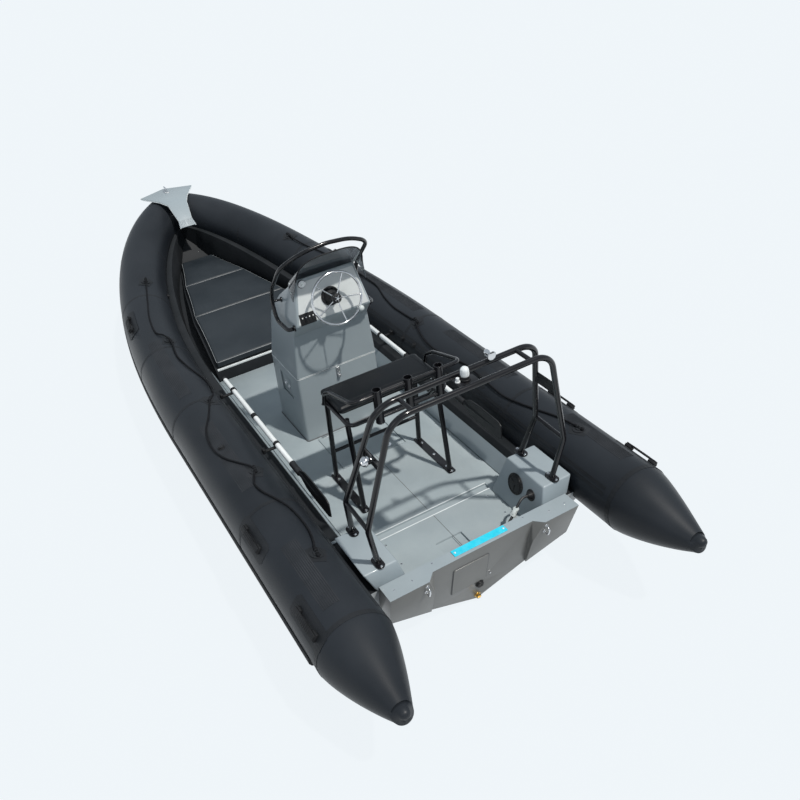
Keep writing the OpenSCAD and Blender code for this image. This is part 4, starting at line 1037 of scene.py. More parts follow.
def buildSeatFrame():
    parts, bolts = [], []
    x0, x1 = seat["ringX"]
    y, z = seat["half"], seat["ringZ"]
    corners = [(x0 + .1, y, z), (x1, y, z), (x1, -y, z), (x0, -y, z), (x0, y, z), (x0 + .1, y, z)]
    loop = bends(corners, .06, 8)
    parts.append(pipe(loop[:-1], seat["ringR"], 6, loop=True))
    for s in (-1, 1):
        plate = flatShape(roundedOutline(seat["legs"][0][0] - seat["legs"][1][0] + .072, .054, .012),
                          seat["baseZ"][1] - seat["baseZ"][0], .0015)
        parts.append(placed(plate, Matrix.Translation(((seat["legs"][0][0] + seat["legs"][1][0]) / 2,
                                                       s * seat["legY"], seat["baseZ"][0]))))
        for low, high in seat["legs"]:
            a, b = Vector((low, s * seat["legY"],
                           seat["baseZ"][1])), Vector((high, s * (seat["legY"] - .006), z - .008))
            parts.append(pipe([a, b], seat["frameR"], 8))
            parts.append(ringOf(a + (b - a).normalized() * .003, b - a, seat["frameR"], .0035, 32, 8))
        for x in (seat["legs"][0][0] + .024, seat["legs"][0][0] - .036, seat["legs"][1][0] - .024,
                  seat["legs"][1][0] + .036, 1.084):
            bolts += bolt((x, s * (seat["legY"]), seat["baseZ"][1]), size=.0065)
        hx, hy, hr = seat["holderX"], seat["holderY"], seat["holderR"]
        parts.append(pipe(softened([(x0, s * hy, z), (hx + .076, s * hy, .870),
                                    (hx + hr + .003, s * hy, .880)], 5), .012, 6))
        arm = bends([(hx, s * (hy + hr), seat["rail"]), (hx, s * seat["armY"], seat["rail"]),
                     (1.040, s * seat["armY"], .955),
                     (1.130, s * seat["armY"], .900), (1.162, s * seat["armY"], z + .004)], .055, 8)
        parts.append(pipe(arm, .012, 6))
        parts.append(ringOf((1.162, s * seat["armY"], z + .005), (0, 0, 1), .0125, .003, 24, 8))
    low, high = seat["legs"][0]
    share = (seat["footrest"] - seat["baseZ"][1]) / (z - .008 - seat["baseZ"][1])
    fx = low + (high - low) * share
    parts.append(pipe([(fx, -seat["legY"] + .012, seat["footrest"]),
                       (fx, seat["legY"] - .012, seat["footrest"])], .012, 6))
    pan = flatShape(roundedOutline(x1 - .997, 2 * y - .012, .03), .0042, .001)
    parts.append(placed(pan, Matrix.Translation(((x1 + .985) / 2, 0, z + .009))))
    done(smooth(join(parts), 40), "seatFrame", "frame", replaces=["seat_frame"])
    done(bolts, "seatBolts", "steel")


buildSeatFrame()


def buildRodHolders():
    parts = []
    z0, z1 = seat["holderZ"]
    hx, hr = seat["holderX"], seat["holderR"]
    for y in (-seat["holderY"], 0, seat["holderY"]):
        tube = rod((hx, y, z0), (hx, y, z1), hr, 0, 64)
        activate(tube)
        bpy.ops.object.mode_set(mode="EDIT")
        bpy.ops.mesh.select_all(action="DESELECT")
        bpy.ops.object.mode_set(mode="OBJECT")
        for face in tube.data.polygons:
            face.select = face.normal.z > .9
        bpy.ops.object.mode_set(mode="EDIT")
        bpy.ops.mesh.inset(thickness=.0038)
        bpy.ops.mesh.extrude_region_move(TRANSFORM_OT_translate={"value": (0, 0, z0 - z1 + .014)})
        bpy.ops.object.mode_set(mode="OBJECT")
        parts.append(smooth(bevelled(tube, .0014, 3, 50), 40))
        parts.append(ringOf((hx, y, z1 - .0035), (0, 0, 1), hr - .0005, .0026, 64, 10))
        parts.append(ringOf((hx, y, z0 + .006), (0, 0, 1), hr - .001, .0024, 64, 8))
    for s in (-1, 1):
        for z in (seat["rail"], .890):
            parts.append(rod((hx, s * (hr - .002), z), (hx, s * (seat["holderY"] - hr + .002), z), .010, 0,
                             24))
    done(parts, "rodHolders", "frame", replaces=["rod_holders"])


buildRodHolders()

arch = {"r": .016, "front": [(.477, .573, .438), (.387, .614, .733), (.188, .464, 1.375)],
        "rear": [(.185, .573, .438), (.141, .618, .718), (.058, .458, 1.375)], "bend": .13,
        "foot": (.098, .054, .008),
        "plateZ": 1.105, "plateHalf": .035, "braceY": .340}


def archLeg(leg, z):
    a, b = Vector(arch[leg][1]), Vector(arch[leg][2])
    return a + (b - a) * (z - a.z) / (b.z - a.z)


def archHoop(leg, name, nodeName):
    half = arch[leg]
    corners = half + [(x, -y, z) for x, y, z in reversed(half)]
    parts = [pipe(bends(corners, arch["bend"], 12), arch["r"], 8)]
    bolts = []
    for s in (-1, 1):
        x, y, z = half[0]
        wide, deep, thick = arch["foot"]
        plate = flatShape(roundedOutline(wide, deep, deep * .499, 10), thick, .0015)
        parts.append(placed(plate, Matrix.Translation((x, s * y, z - thick + .0003))))
        parts.append(ringOf((x, s * y, z + .001), (0, 0, 1), arch["r"] + .001, .004, 32, 8))
        for dx in (-.036, .036):
            bolts += bolt((x + dx, s * y, z), size=.006)
    done(smooth(join(parts), 40), name, "frame", replaces=[nodeName])
    return bolts


def buildArch():
    bolts = archHoop("front", "archFront", "arch_front") + archHoop("rear", "archRear", "arch_rear")
    parts = []
    r = arch["r"]
    for s in (-1, 1):
        y = s * arch["braceY"]
        parts.append(pipe([(arch["rear"][2][0] + r - .002, y, 1.375),
                           (arch["front"][2][0] - r + .002, y, 1.375)], .012, 6))
        a, b = Vector(arch["rear"][1]), Vector(arch["front"][1])
        a, b = a + Vector((.012, -.002, .003)), b + Vector((-.012, 0, -.003))
        parts.append(pipe([(a.x, s * a.y, a.z), (b.x, s * b.y, b.z)], .012, 6))
        low, high = arch["plateZ"] - arch["plateHalf"], arch["plateZ"] + arch["plateHalf"]
        corners = [(archLeg("rear", low).x + r - .001, low), (archLeg("front", low).x - r + .001, low),
                   (archLeg("front", high).x - r + .001, high), (archLeg("rear", high).x + r - .001, high)]
        plate = flatShape(corners, .005, .001)
        yPlate = archLeg("front", arch["plateZ"]).y - .0005
        for v in plate.data.vertices:
            v.co = (v.co.x, s * (yPlate - v.co.z), v.co.y)
        parts.append(outward(plate))
        x = (archLeg("rear", arch["plateZ"]).x + archLeg("front", arch["plateZ"]).x) / 2
        for dz in (-.018, .018):
            if s < 0:
                bolts += bolt((x, s * yPlate, arch["plateZ"] + dz), (0, s, 0), .005)
    low, high = arch["rear"][2][0] + r + .0002, arch["front"][2][0] - r - .0002
    parts.append(box((low, -.049, 1.372), (high, .061, 1.377), .0012))
    done(smooth(join(parts), 40), "archBraces", "frame", replaces=["arch_braces"])
    done(bolts, "archBolts", "steel")
    x = (low + high) / 2
    base = [rod((x, .006, 1.3772), (x, .006, 1.386), .028, .002, 40),
            rod((x, .006, 1.386), (x, .006, 1.3995), .0235, .002, 40, .0205)]
    done(base, "navLightBase", "plastic")
    dome = join([rod((x, .006, 1.3990), (x, .006, 1.430), .0212, .001, 40, .0215),
                 ball((x, .006, 1.430), .0215, .88, sides=40)])
    ribs = [ringOf((x, .006, 1.4045 + .0055 * k), (0, 0, 1), .0214, .0008, 40, 6) for k in range(5)]
    done([dome] + ribs, "navLight", "dome", replaces=["nav_light"])
    stub = join([rod((x, .116, 1.3765), (x, .116, 1.384), .013, .0015, 24),
                 rod((x, .116, 1.384), (x, .116, 1.402), .009, .002, 24)])
    for v in stub.data.vertices:
        v.co.y -= .068
    done(stub, "lampStub", "alloy")
    hornAt = Vector((arch["front"][2][0], -.180, 1.3913))
    horn = [rod(hornAt + Vector((0, 0, -.001)), hornAt + Vector((0, 0, .014)), .009, .0015, 24),
            box(hornAt + Vector((-.020, -.011, .010)), hornAt + Vector((.022, .011, .0135)), .0012)]
    profile = [(.030, .0100), (.022, .0150), (.010, .0148), (.000, .0095), (-.006, .0102), (-.014, .0130),
               (-.021, .0180), (-.0265, .0235), (-.028, .0240)]
    for (xa, ra), (xb, rb) in zip(profile, profile[1:]):
        horn.append(rod(hornAt + Vector((xa, 0, .0262)), hornAt + Vector((xb, 0, .0262)), ra, 0, 40, rb))
    horn.append(ringOf(hornAt + Vector((-.0272, 0, .0262)), (1, 0, 0), .0228, .0016, 40, 8))
    done(smooth(join(horn), 50), "horn", "steel", replaces=["horn"])
    leg = archLeg("front", 1.105)
    at = Vector((.170, leg.y, 1.115))
    lamp = [ball(at + Vector((0, .034, 0)), .027, sides=48),
            rod(at + Vector((0, -.001, 0)), at + Vector((0, .012, 0)), .011, .0015, 32),
            ringOf(at + Vector((0, .040, 0)), (0, 1, 0), .0262, .0016, 48, 8),
            rod(at + Vector((0, .055, 0)), at + Vector((0, .0615, 0)), .0135, .002, 32)]
    done(lamp, "deckLamp", "steel", replaces=["deck_lamp"])


buildArch()
print("tube frames ready")

# console

console = {"x": (1.740, 2.202), "topX": (1.732, 2.176), "y": (.304, .296), "z": (.1507, .655), "wall": .008,
           "corner": .020,
           "profile": [(1.718, .985), (1.628, 1.086), (1.692, 1.373), (1.935, 1.192), (2.085, 1.022)],
           "front": [(.296, .661), (.262, 1.086), (.205, 1.374)], "seam": .661,
           "panel": (1.870, 2.046, .432, .590)}


def walled(obj, low, high):  # opens a solid at its seams and gives it a wall
    if low is not None:
        cutBy(obj, (0, 0, low), (0, 0, -1), False)
    if high is not None:
        cutBy(obj, (0, 0, high), (0, 0, 1), False)
    modify(obj, "SOLIDIFY", thickness=console["wall"], offset=-1, use_even_offset=True)
    return outward(obj)


def buildConsoleBase():
    z0, z1 = console["z"]
    extra = .05
    rows = []
    for z in (z0 - extra, z1 + extra):
        t = (z - z0) / (z1 - z0)
        xa = console["x"][0] + (console["topX"][0] - console["x"][0]) * t
        xb = console["x"][1] + (console["topX"][1] - console["x"][1]) * t
        rows.append((xa, xb, console["y"][0] + (console["y"][1] - console["y"][0]) * t, z))
    shell = box((0, -1, z0 - extra), (1, 1, z1 + extra))
    for v in shell.data.vertices:
        xa, xb, y, z = rows[0] if v.co.z < (z0 + z1) / 2 else rows[1]
        v.co = (xb if v.co.x > .5 else xa, math.copysign(y, v.co.y), z)
    bevelled(shell, console["corner"], 5, 50)
    walled(shell, z0, z1)
    px0, px1, pz0, pz1 = console["panel"]
    cutter = box((px0, .2, pz0), (px1, .4, pz1))
    modify(shell, "BOOLEAN", operation="DIFFERENCE", object=cutter, solver="EXACT")
    bpy.data.objects.remove(cutter)
    done(smooth(shell, 30), "consoleBase", "console", replaces=["console_base"])
    xa, xb, y, r = *console["topX"], console["y"][1], console["corner"]
    loop = roundedOutline(xb - xa, 2 * y, r, 6)
    seam = pipe([((xa + xb) / 2 + px, py, z1 - .0006) for px, py in loop], .0014, 3, loop=True)
    done(seam, "consoleSeam", "paleEdge")
    xa, xb, y = *console["x"], console["y"][0]
    loop = roundedOutline(xb - xa + .004, 2 * y + .004, r, 6)
    foot = pipe([((xa + xb) / 2 + px, py, z0 + .002) for px, py in loop], .004, 3, loop=True)
    done(foot, "consoleFoot", "jointAndShadowLine")
    panel = box((px0 + .0008, .2820, pz0 + .0008), (px1 - .0008, .2900, pz1 - .0008), .0035, 3)
    plate = box((px0 + .012, .2895, pz0 + .012), (px1 - .012, .2925, pz1 - .012), .0014, 2)
    done(smooth(join([panel, plate])), "sidePanel", "console", replaces=["side_panel"])
    latches = []
    for x in (1.926, 1.988):
        latches += [rod((x, .290, .511), (x, .2955, .511), .016, .0012, 40),
                    ringOf((x, .2955, .511), (0, 1, 0), .0145, .0012, 40, 6),
                    box((x - .012, .2950, .508), (x + .012, .2972, .514), .0008)]
    done(latches, "panelLatches", "steel")
    plate = box((1.7287, -.014, .593), (1.7317, .014, .649), .0008)
    hinge = rod((1.7270, -.014, .648), (1.7270, .014, .648), .0034, .0005, 16)
    screws = [rod((1.7290, y, z), (1.7272, y, z), .0032, .0005,
                  12) for y in (-.008, .008) for z in (.600, .632)]
    done([plate, hinge] + screws, "consoleHasp", "steel", replaces=["console_hasp"])
    done(smooth(box((1.7135, -.0105, .575), (1.7265, .0105, .596), .0025, 3)), "padlock", "satin")
    shackle = pipe(bends([(1.720, -.0065, .594), (1.720, -.0065, .611), (1.720, .0065, .611),
                          (1.720, .0065, .594)], .006, 6), .0021, 4)
    done(shackle, "padlockShackle", "steel")


def buildConsoleTop():
    z0 = console["seam"]
    (xa, xb), extra = console["topX"], .05
    slope = (console["profile"][0][0] - xa) / (console["profile"][0][1] - z0)
    slopeFront = (console["profile"][4][0] - xb) / (console["profile"][4][1] - z0)
    outline = [(xb - slopeFront * extra, z0 - extra), (xa - slope * extra, z0 - extra)] + console["profile"]
    shell = flatShape(outline, .8)
    for v in shell.data.vertices:
        v.co = (v.co.x, .4 - v.co.z, v.co.y)
    outward(shell)
    for (ya, za), (yb, zb) in zip(console["front"], console["front"][1:]):
        for s in (-1, 1):
            cutBy(shell, (0, s * ya, za), (0, s * (zb - za), ya - yb))
    bevelled(shell, .015, 4, 14)
    walled(shell, z0, None)
    done(smooth(shell, 30), "consoleTop", "console", "console_top", ["console_top"])
    y, r = console["y"][1], console["corner"]
    loop = roundedOutline(xb - xa, 2 * y, r, 6)
    edge = pipe([((xa + xb) / 2 + px, py, z0 + .0006) for px, py in loop], .0014, 3, loop=True)
    done(edge, "topSeam", "paleEdge", "console_top")


buildConsoleBase()
buildConsoleTop()
print("console ready")

# dash and wheel

dash = {"low": (1.628, 1.086), "high": (1.692, 1.373), "helmUp": .1304, "switches": (.004, .078, .126, .234),
        "gauge": (.258, .163)}
wheel = {"at": (1.55, 0, 1.237), "radius": .1645, "rim": .008, "spoke": .004, "hub": .030, "shaft": .010,
         "first": -26}


def dashFrame(place):  # X up the dash, Y to port, Z out of it
    (xa, za), (xb, zb) = dash["low"], dash["high"]
    up = Vector((xb - xa, 0, zb - za)).normalized()
    side = Vector((0, 1, 0))
    return Matrix.Translation(place) @ Matrix((up, side, up.cross(side))).transposed().to_4x4()


def onDash(up, y):
    f = dashFrame((dash["low"][0], y, dash["low"][1]))
    return f @ Matrix.Translation((up, 0, 0))


def buildDashFace():
    half, top, edge = .246, .268, .012
    outline = [(edge, -half), (edge, half), (top, .192), (top, -.192)]
    plate = flatShape(outline, .0012)
    bevelled(plate, .03, 5, 60)
    done(placed(smooth(plate), onDash(0, 0)), "dashFace", "dashFace", "console_top")


def buildDash():
    face = onDash(dash["helmUp"], 0)
    ring = onFace(face, rod((0, 0, .0003), (0, 0, .008), .062, .002, 64))
    for k in range(4):
        r = .046 - .004 * k
        ring.append(placed(rod((0, 0, .008 + .0095 * k), (0, 0, .0175 + .0095 * k), r, .0016, 48, r - .003),
                           face))
    ring.append(placed(ringOf((0, 0, .0065), (0, 0, 1), .0575, .0018, 64, 8), face))
    bezel = smooth(join(ring))
    cutter = placed(rod((0, 0, .020), (0, 0, .080), .0105, 0, 48), face)
    modify(bezel, "BOOLEAN", operation="DIFFERENCE", object=cutter, solver="EXACT", use_self=True)
    bpy.data.objects.remove(cutter)
    done(bezel, "helmBezel", "plastic", "console_top", ["helm_bezel"])
    low, high, ya, yb = dash["switches"]
    face = onDash(0, 0)
    plate = onFace(face, box((low, ya, .0003), (high, yb, .0040), .0016, 3))
    tips = []
    for k in range(4):
        y = .136 + .024 * k
        rocker = box((.022, y, .0035), (.060, y + .016, .0100), .0018, 3)
        for v in rocker.data.vertices:
            if v.co.z > .006:
                v.co.z -= .0032 * (1 - min(abs(v.co.x - .041) / .017, 1)) + .001 * (v.co.x < .041)
        plate.append(placed(rocker, face))
        tips.append(placed(box((.049, y + .0045, .0088), (.056, y + .0115, .0103), .0005), face))
    for x in (low + .006, high - .006):
        for y in (ya + .006, yb - .006):
            plate.append(placed(rod((x, y, .0035), (x, y, .0052), .0028, .0005, 12), face))
    done(smooth(join(plate)), "switchPanel", "plastic", "console_top", ["switch_panel"])
    done(tips, "switchTips", "dial", "console_top")
    face = onDash(*dash["gauge"])
    rim = placed(ringOf((0, 0, .0022), (0, 0, 1), .0245, .0020, 64, 8), face)
    done(rim, "gaugeSeal", "plastic", "console_top")
    case = onFace(face, rod((0, 0, .0003), (0, 0, .0090), .0238, .0012, 64),
                  ringOf((0, 0, .0092), (0, 0, 1), .0215, .0027, 64, 12))
    done(case, "gauge", "steel", "console_top", ["compass"])
    dial = placed(ball((0, 0, .0085), .0195, .22, sides=48), face)
    done(dial, "gaugeFace", "dial", "console_top")
    marks = []
    for k in range(9):
        a = math.radians(-120 + 30 * k)
        marks.append(placed(box((.0125, -.0006, .0112), (.0160, .0006, .0120), .0002),
                            face @ Matrix.Rotation(a, 4, "Z")))
    marks.append(placed(box((-.002, -.0008, .0124), (.0125, .0008, .0131), .0003),
                        face @ Matrix.Rotation(2.2, 4, "Z")))
    done(marks, "gaugeMarks", "plastic", "console_top")
    screw = rod((1.7075, .085, 1.000), (1.7050, .085, 1.0035), .0045, .0008, 16)
    done(screw, "dashScrew", "steel", "console_top")


def buildWheel():
    face = dashFrame(wheel["at"])
    parts = onFace(face, ringOf((0, 0, 0), (0, 0, 1), wheel["radius"], wheel["rim"], 128, 20))
    for k in range(5):
        a = math.radians(72 * k + wheel["first"])
        c = Vector((math.cos(a), math.sin(a), 0))
        parts.append(placed(rod(c * .024 + Vector((0, 0, -.0118)), c * wheel["radius"], wheel["spoke"], 0,
                                20), face))
        tip = c * (wheel["radius"] - .010) + Vector((0, 0, -.0010))
        parts.append(placed(rod(tip, c * wheel["radius"], .0058, .001, 20), face))
    parts.append(placed(rod((0, 0, -.072), (0, 0, -.022), wheel["shaft"], .0008, 40), face))
    done(parts, "steeringWheel", "steel", "wheel", ["steering_wheel"])
    hub = onFace(face, rod((0, 0, -.026), (0, 0, .004), wheel["hub"], .003, 64),
                 rod((0, 0, .004), (0, 0, .0098), wheel["hub"] - .003, .0028, 64, wheel["hub"] - .006))
    done(smooth(join(hub)), "wheelHub", "plastic", "wheel")
    star = onFace(face, rod((0, 0, .008), (0, 0, .0118), .0085, .001, 32))
    for k in range(5):
        a = math.radians(72 * k + wheel["first"])
        star.append(placed(box((.006, -.0024, .0088), (.0215, .0024, .0108), .0007),
                           face @ Matrix.Rotation(a, 4, "Z")))
    done(star, "hubStar", "steel", "wheel")
    a = math.radians(-128)
    c = Vector((math.cos(a), math.sin(a), 0)) * wheel["radius"]
    knob = onFace(face, rod(c + Vector((0, 0, .002)), c + Vector((0, 0, .020)), .007, .001, 24),
                  ball(c + Vector((0, 0, .032)), .0185, .82, sides=40))
    done(knob, "wheelKnob", "connector", "wheel")
    clamp = placed(rod(c + Vector((0, 0, -.010)), c + Vector((0, 0, .0095)), .0125, .002, 32), face)
    done(clamp, "knobClamp", "steel", "wheel")


buildDashFace()
buildDash()
buildWheel()

rail = {"r": .013, "bend": .060, "wide": .30, "half": [(1.675, .2738, 1.067), (1.700, .300, 1.056),
                                                       (1.870, .302, 1.056), (1.900, .302, 1.180),
                                         (1.850, .302, 1.290), (1.645, .300, 1.500), (1.600, .160, 1.572),
                                                       (1.592, 0, 1.590)]}


def screenEdge(u, high):  # the screen's lower and upper edges, u from -1 at starboard to 1 at port
    y = math.sin(math.radians(90 * u))
    if high:
        return Vector((1.520 + .085 * u * u, .226 * y, 1.556 - .160 * abs(u) ** 2.6))
    x = 1.800 - .160 * abs(u) ** 2.2
    s = max(abs(u) - .75, 0) / .25
    z = 1.373 - (x - 1.692) * (1.373 - 1.192) / (1.935 - 1.692) + .0008
    return Vector((x, .250 * y, z + (1.262 - z) * s))


def buildScreen():
    rings = []
    for u in np.linspace(-1, 1, 65):
        a, b = screenEdge(u, False), screenEdge(u, True)
        along = screenEdge(min(u + .02, 1), False) - screenEdge(max(u - .02, -1), False)
        n = along.cross(b - a).normalized() * .005
        rings.append([a, b, b + n * .3, b + n * .7, b + n, a + n])
    done(skinned(rings), "windscreen", "smoked", "console_top", ["windscreen"])
    upper = [screenEdge(u, True) for u in np.linspace(-1, 1, 49)]
    middle = [screenEdge(u, False) for u in np.linspace(-1, 1, 49)]
    back = [(a - b).normalized() * .0025 for a, b in zip(upper, middle)]
    out = Vector((.0018, 0, .0010))
    done(pipe([p + q * .2 + out for p, q in zip(upper, back)], .0042, 4), "screenTrim", "rubber",
         "console_top")
    done(pipe([p + out * 1.2 + Vector((0, 0, .002)) for p in middle[6:-6]], .0048, 4), "screenSeal",
         "rubber", "console_top")
    studs = []
    for u in (-.93, -.80, .80, .93):
        a, b = screenEdge(u, False), screenEdge(u, True)
        side = Vector((0, math.copysign(1, u), .1))
        p = a + (b - a) * .14
        studs.append(rod(p - side * .006, p + side * .008, .0075, .0012, 20))
    done(studs, "screenStuds", "connector", "console_top")
    corners = rail["half"] + [(x, -y, z) for x, y, z in reversed(rail["half"][:-1])]
    radii = [rail["bend"] if z < 1.1 else rail["wide"] for x, y, z in corners[1:-1]]
    tube = [pipe(bends(corners, radii, 12), rail["r"], 8)]
    for s in (-1, 1):
        tube.append(rod((1.885, s * .247, 1.180), (1.896, s * .2884, 1.180), .008, 0, 24))
        tube.append(rod((1.8832, s * .2400, 1.180), (1.8856, s * .2490, 1.180), .017, .001, 32))
        tube.append(rod((1.6735, s * .2610, 1.069), (1.6748, s * .2705, 1.0675), .021, .0012, 32))
    done(smooth(join(tube)), "handrail", "frame", "console_top", ["handrail"])


buildScreen()
print("dash ready")

# cushions

# crowned pad with rounded edges and sides pulled in
def padForm(xa, xb, ha, hb, z0, z1, radius, crown, pull, cuts=34):
    obj = box((-1, -1, -1), (1, 1, 1))
    edited(obj, ("subdivide", {"number_cuts": cuts}))
    for v in obj.data.vertices:
        v.co = padPoint(*(math.sin(math.pi / 2 * c) for c in v.co), xa, xb, ha, hb, z0, z1, radius, crown,
                        pull)
    return smooth(outward(obj), 60)


def padPoint(u, v, w, xa, xb, ha, hb, z0, z1, radius, crown, pull):
    hz = (z1 - z0) / 2
    hx = (xb - xa) / 2
    share = (u + 1) / 2
    hy = ha + (hb - ha) * share
    p = Vector((u * hx, v * hy, w * hz))
    inner = Vector((max(min(p.x, hx - radius), radius - hx), max(min(p.y, hy - radius), radius - hy),
                    max(min(p.z, hz - radius), radius - hz)))
    d = p - inner
    if d.length > 1e-9 and radius > 0:
        p = inner + d.normalized() * min(d.length, radius) if d.length > radius else p
    p.x -= math.copysign(pull * (1 - v * v) * abs(u) ** 6, u)
    p.y -= math.copysign(pull * (1 - u * u) * abs(v) ** 6, v)
    bulge = 1 - w * w
    p.x += math.copysign(.5 * pull * bulge * abs(u) ** 8, u)
    p.y += math.copysign(.5 * pull * bulge * abs(v) ** 8, v)
    if w > 0:
        p.z += crown * w * (1 - abs(u) ** 3) * (1 - abs(v) ** 3)
    return Vector(((xa + xb) / 2 + p.x, p.y, (z0 + z1) / 2 + p.z))


def buildCushions():
    piping = []
    for k in range(3):
        xa = pads["x"][k] + (0 if k == 0 else pads["gap"])
        xb = pads["x"][k + 1] - pads["gap"]
        size = (xa, xb, pads["half"][k], pads["half"][k + 1], *pads["z"], .014, .012, .006)
        pad = done(padForm(*size), pads["names"][k], "vinyl", replaces=[pads["nodes"][k]])
        ring = [padPoint(u, v, .72, *size) for u, v in
                [(-1, y) for y in np.linspace(-.97, .97, 24)] + [(x, 1) for x in np.linspace(-.98, .98, 24)]
                + [(1, y) for y in np.linspace(.97, -.97, 24)]
                + [(x, -1) for x in np.linspace(.98, -.98, 24)]]
        piping.append(pipe(ring, .0026, 4, loop=True))
    done(piping, "cushionPiping", "piping")
    done(box((4.9345, -.128, .2595), (4.9465, .128, .2665), .002), "bowStrip", "paleEdge")
    size = (.9785, 1.2425, .333, .333, .8193, .868, .020, .010, .005)
    seatPad = padForm(*size)
    done(seatPad, "seatCushion", "seatVinyl", replaces=["seat_cushion"])
    seam = []
    ring = [(-.72, y) for y in np.linspace(-.84, .84, 20)] + [(x, .88) for x in np.linspace(-.62, .62, 12)] \
        + [(.72, y) for y in np.linspace(.84, -.84, 20)] + [(x, -.88) for x in np.linspace(.62, -.62, 12)]
    seam.append(pipe([padPoint(u, v, 1, *size) + Vector((0, 0, .0002)) for u, v in ring], .0014, 3,
                     loop=True))
    ring = [(-1, y) for y in np.linspace(-.95, .95, 20)] + [(x, 1) for x in np.linspace(-.9, .9, 12)] \
        + [(1, y) for y in np.linspace(.95, -.95, 20)] + [(x, -1) for x in np.linspace(.9, -.9, 12)]
    seam.append(pipe([padPoint(u, v, -.25, *size) for u, v in ring], .0016, 3, loop=True))
    done(seam, "seatSeams", "clothPatch")


buildCushions()
print("cushions ready")

# collar fittings

fit = {"strakeAngle": 163, "strakeHalf": 9, "strakeFrom": -2.190, "strakeTo": .965, "rope": .006,
       "patchPlaces": [.37, .151, -40, -960, -1800], "patchPort": [-74, -69, -66, -77, -75],
       "patchStarboard": [-82, -88, -71, -57, -88],
       "patchGap": [.004, .0014, .0003, .0003, .0003],
       "handles": [(.245, -134, .004), (-1419, -141, .0003), (-2128, -141, .0003)]}
linePort = [(.37, -74, 19.5), (.345, -75, 19.5), (.289, -80, 9), (.23, -88, 9), (.18, -88, 9),
            (.165, -76, 14.4), (.151, -69, 14.4),
            (.135, -68, 14.4), (.10, -71, 9), (.069, -61, 9), (.045, -42, 9), (.015, -46, 9),
            (.002, -57, 12.9), (-40, -66, 12.9),
            (-82, -70, 12.9), (-250, -87, 9), (-403, -106, 9), (-576, -113, 9), (-729, -106, 9),
            (-840, -92, 9), (-915, -80, 12.9),
            (-960, -77, 12.9), (-1005, -82, 12.9), (-1080, -90, 9), (-1170, -88, 9), (-1285, -76, 9),
            (-1399, -65, 9),
            (-1572, -62, 9), (-1700, -68, 9), (-1752, -73, 12.9), (-1800, -75, 12.9)]
lineStarboard = [(.37, -82, 19.5), (.345, -79, 19.5), (.302, -82, 9), (.264, -88, 9), (.21, -91, 9),
                 (.165, -89, 14.4),
                 (.151, -88, 14.4), (.137, -89, 14.4), (.10, -87, 9), (.069, -74, 9), (.04, -67, 9),
                 (.013, -68, 9),
                 (.002, -69, 12.9), (-40, -71, 12.9), (-82, -64, 12.9), (-231, -52, 9), (-384, -48, 9),
                 (-556, -52, 9),
                 (-760, -60, 9), (-915, -58, 12.9), (-960, -57, 12.9), (-1005, -57, 12.9), (-1189, -55, 9),
                 (-1323, -60, 9),
                 (-1457, -68, 9), (-1629, -81, 9), (-1752, -86, 12.9), (-1800, -88, 12.9)]


def seatOn(run, angle, lift=0.0):  # frame on the port collar: X along it, Z out of it
    out = (onCollar(run, angle, 1.0) - onCollar(run, angle)).normalized()
    along = onCollar(run + .004, angle) - onCollar(run - .004, angle)
    along = (along - out * along.dot(out)).normalized()
    return Matrix.Translation(onCollar(run, angle, lift)) @ Matrix((along, out.cross(along),
                                                                    out)).transposed().to_4x4()


def buildStrakes():
    end = runOf(fit["strakeTo"])
    section = [(-1, .0026), (-.92, .0060), (-.66, .0130), (-.50, .0142), (-.40, .0118), (-.28, .0155),
               (0, .0170), (.28, .0155), (.40, .0118),
               (.50, .0142), (.66, .0130), (.92, .0060), (1, .0026), (.5, .0010), (0, .0008), (-.5, .0010)]
    rings = [[onCollar(run, fit["strakeAngle"] + a * fit["strakeHalf"], h) for a, h in section]
             for run in np.linspace(fit["strakeFrom"], end, 150)]
    done(twin(skinned(rings)), "rubbingStrakes", "rubber", replaces=["rubbing_strakes"])


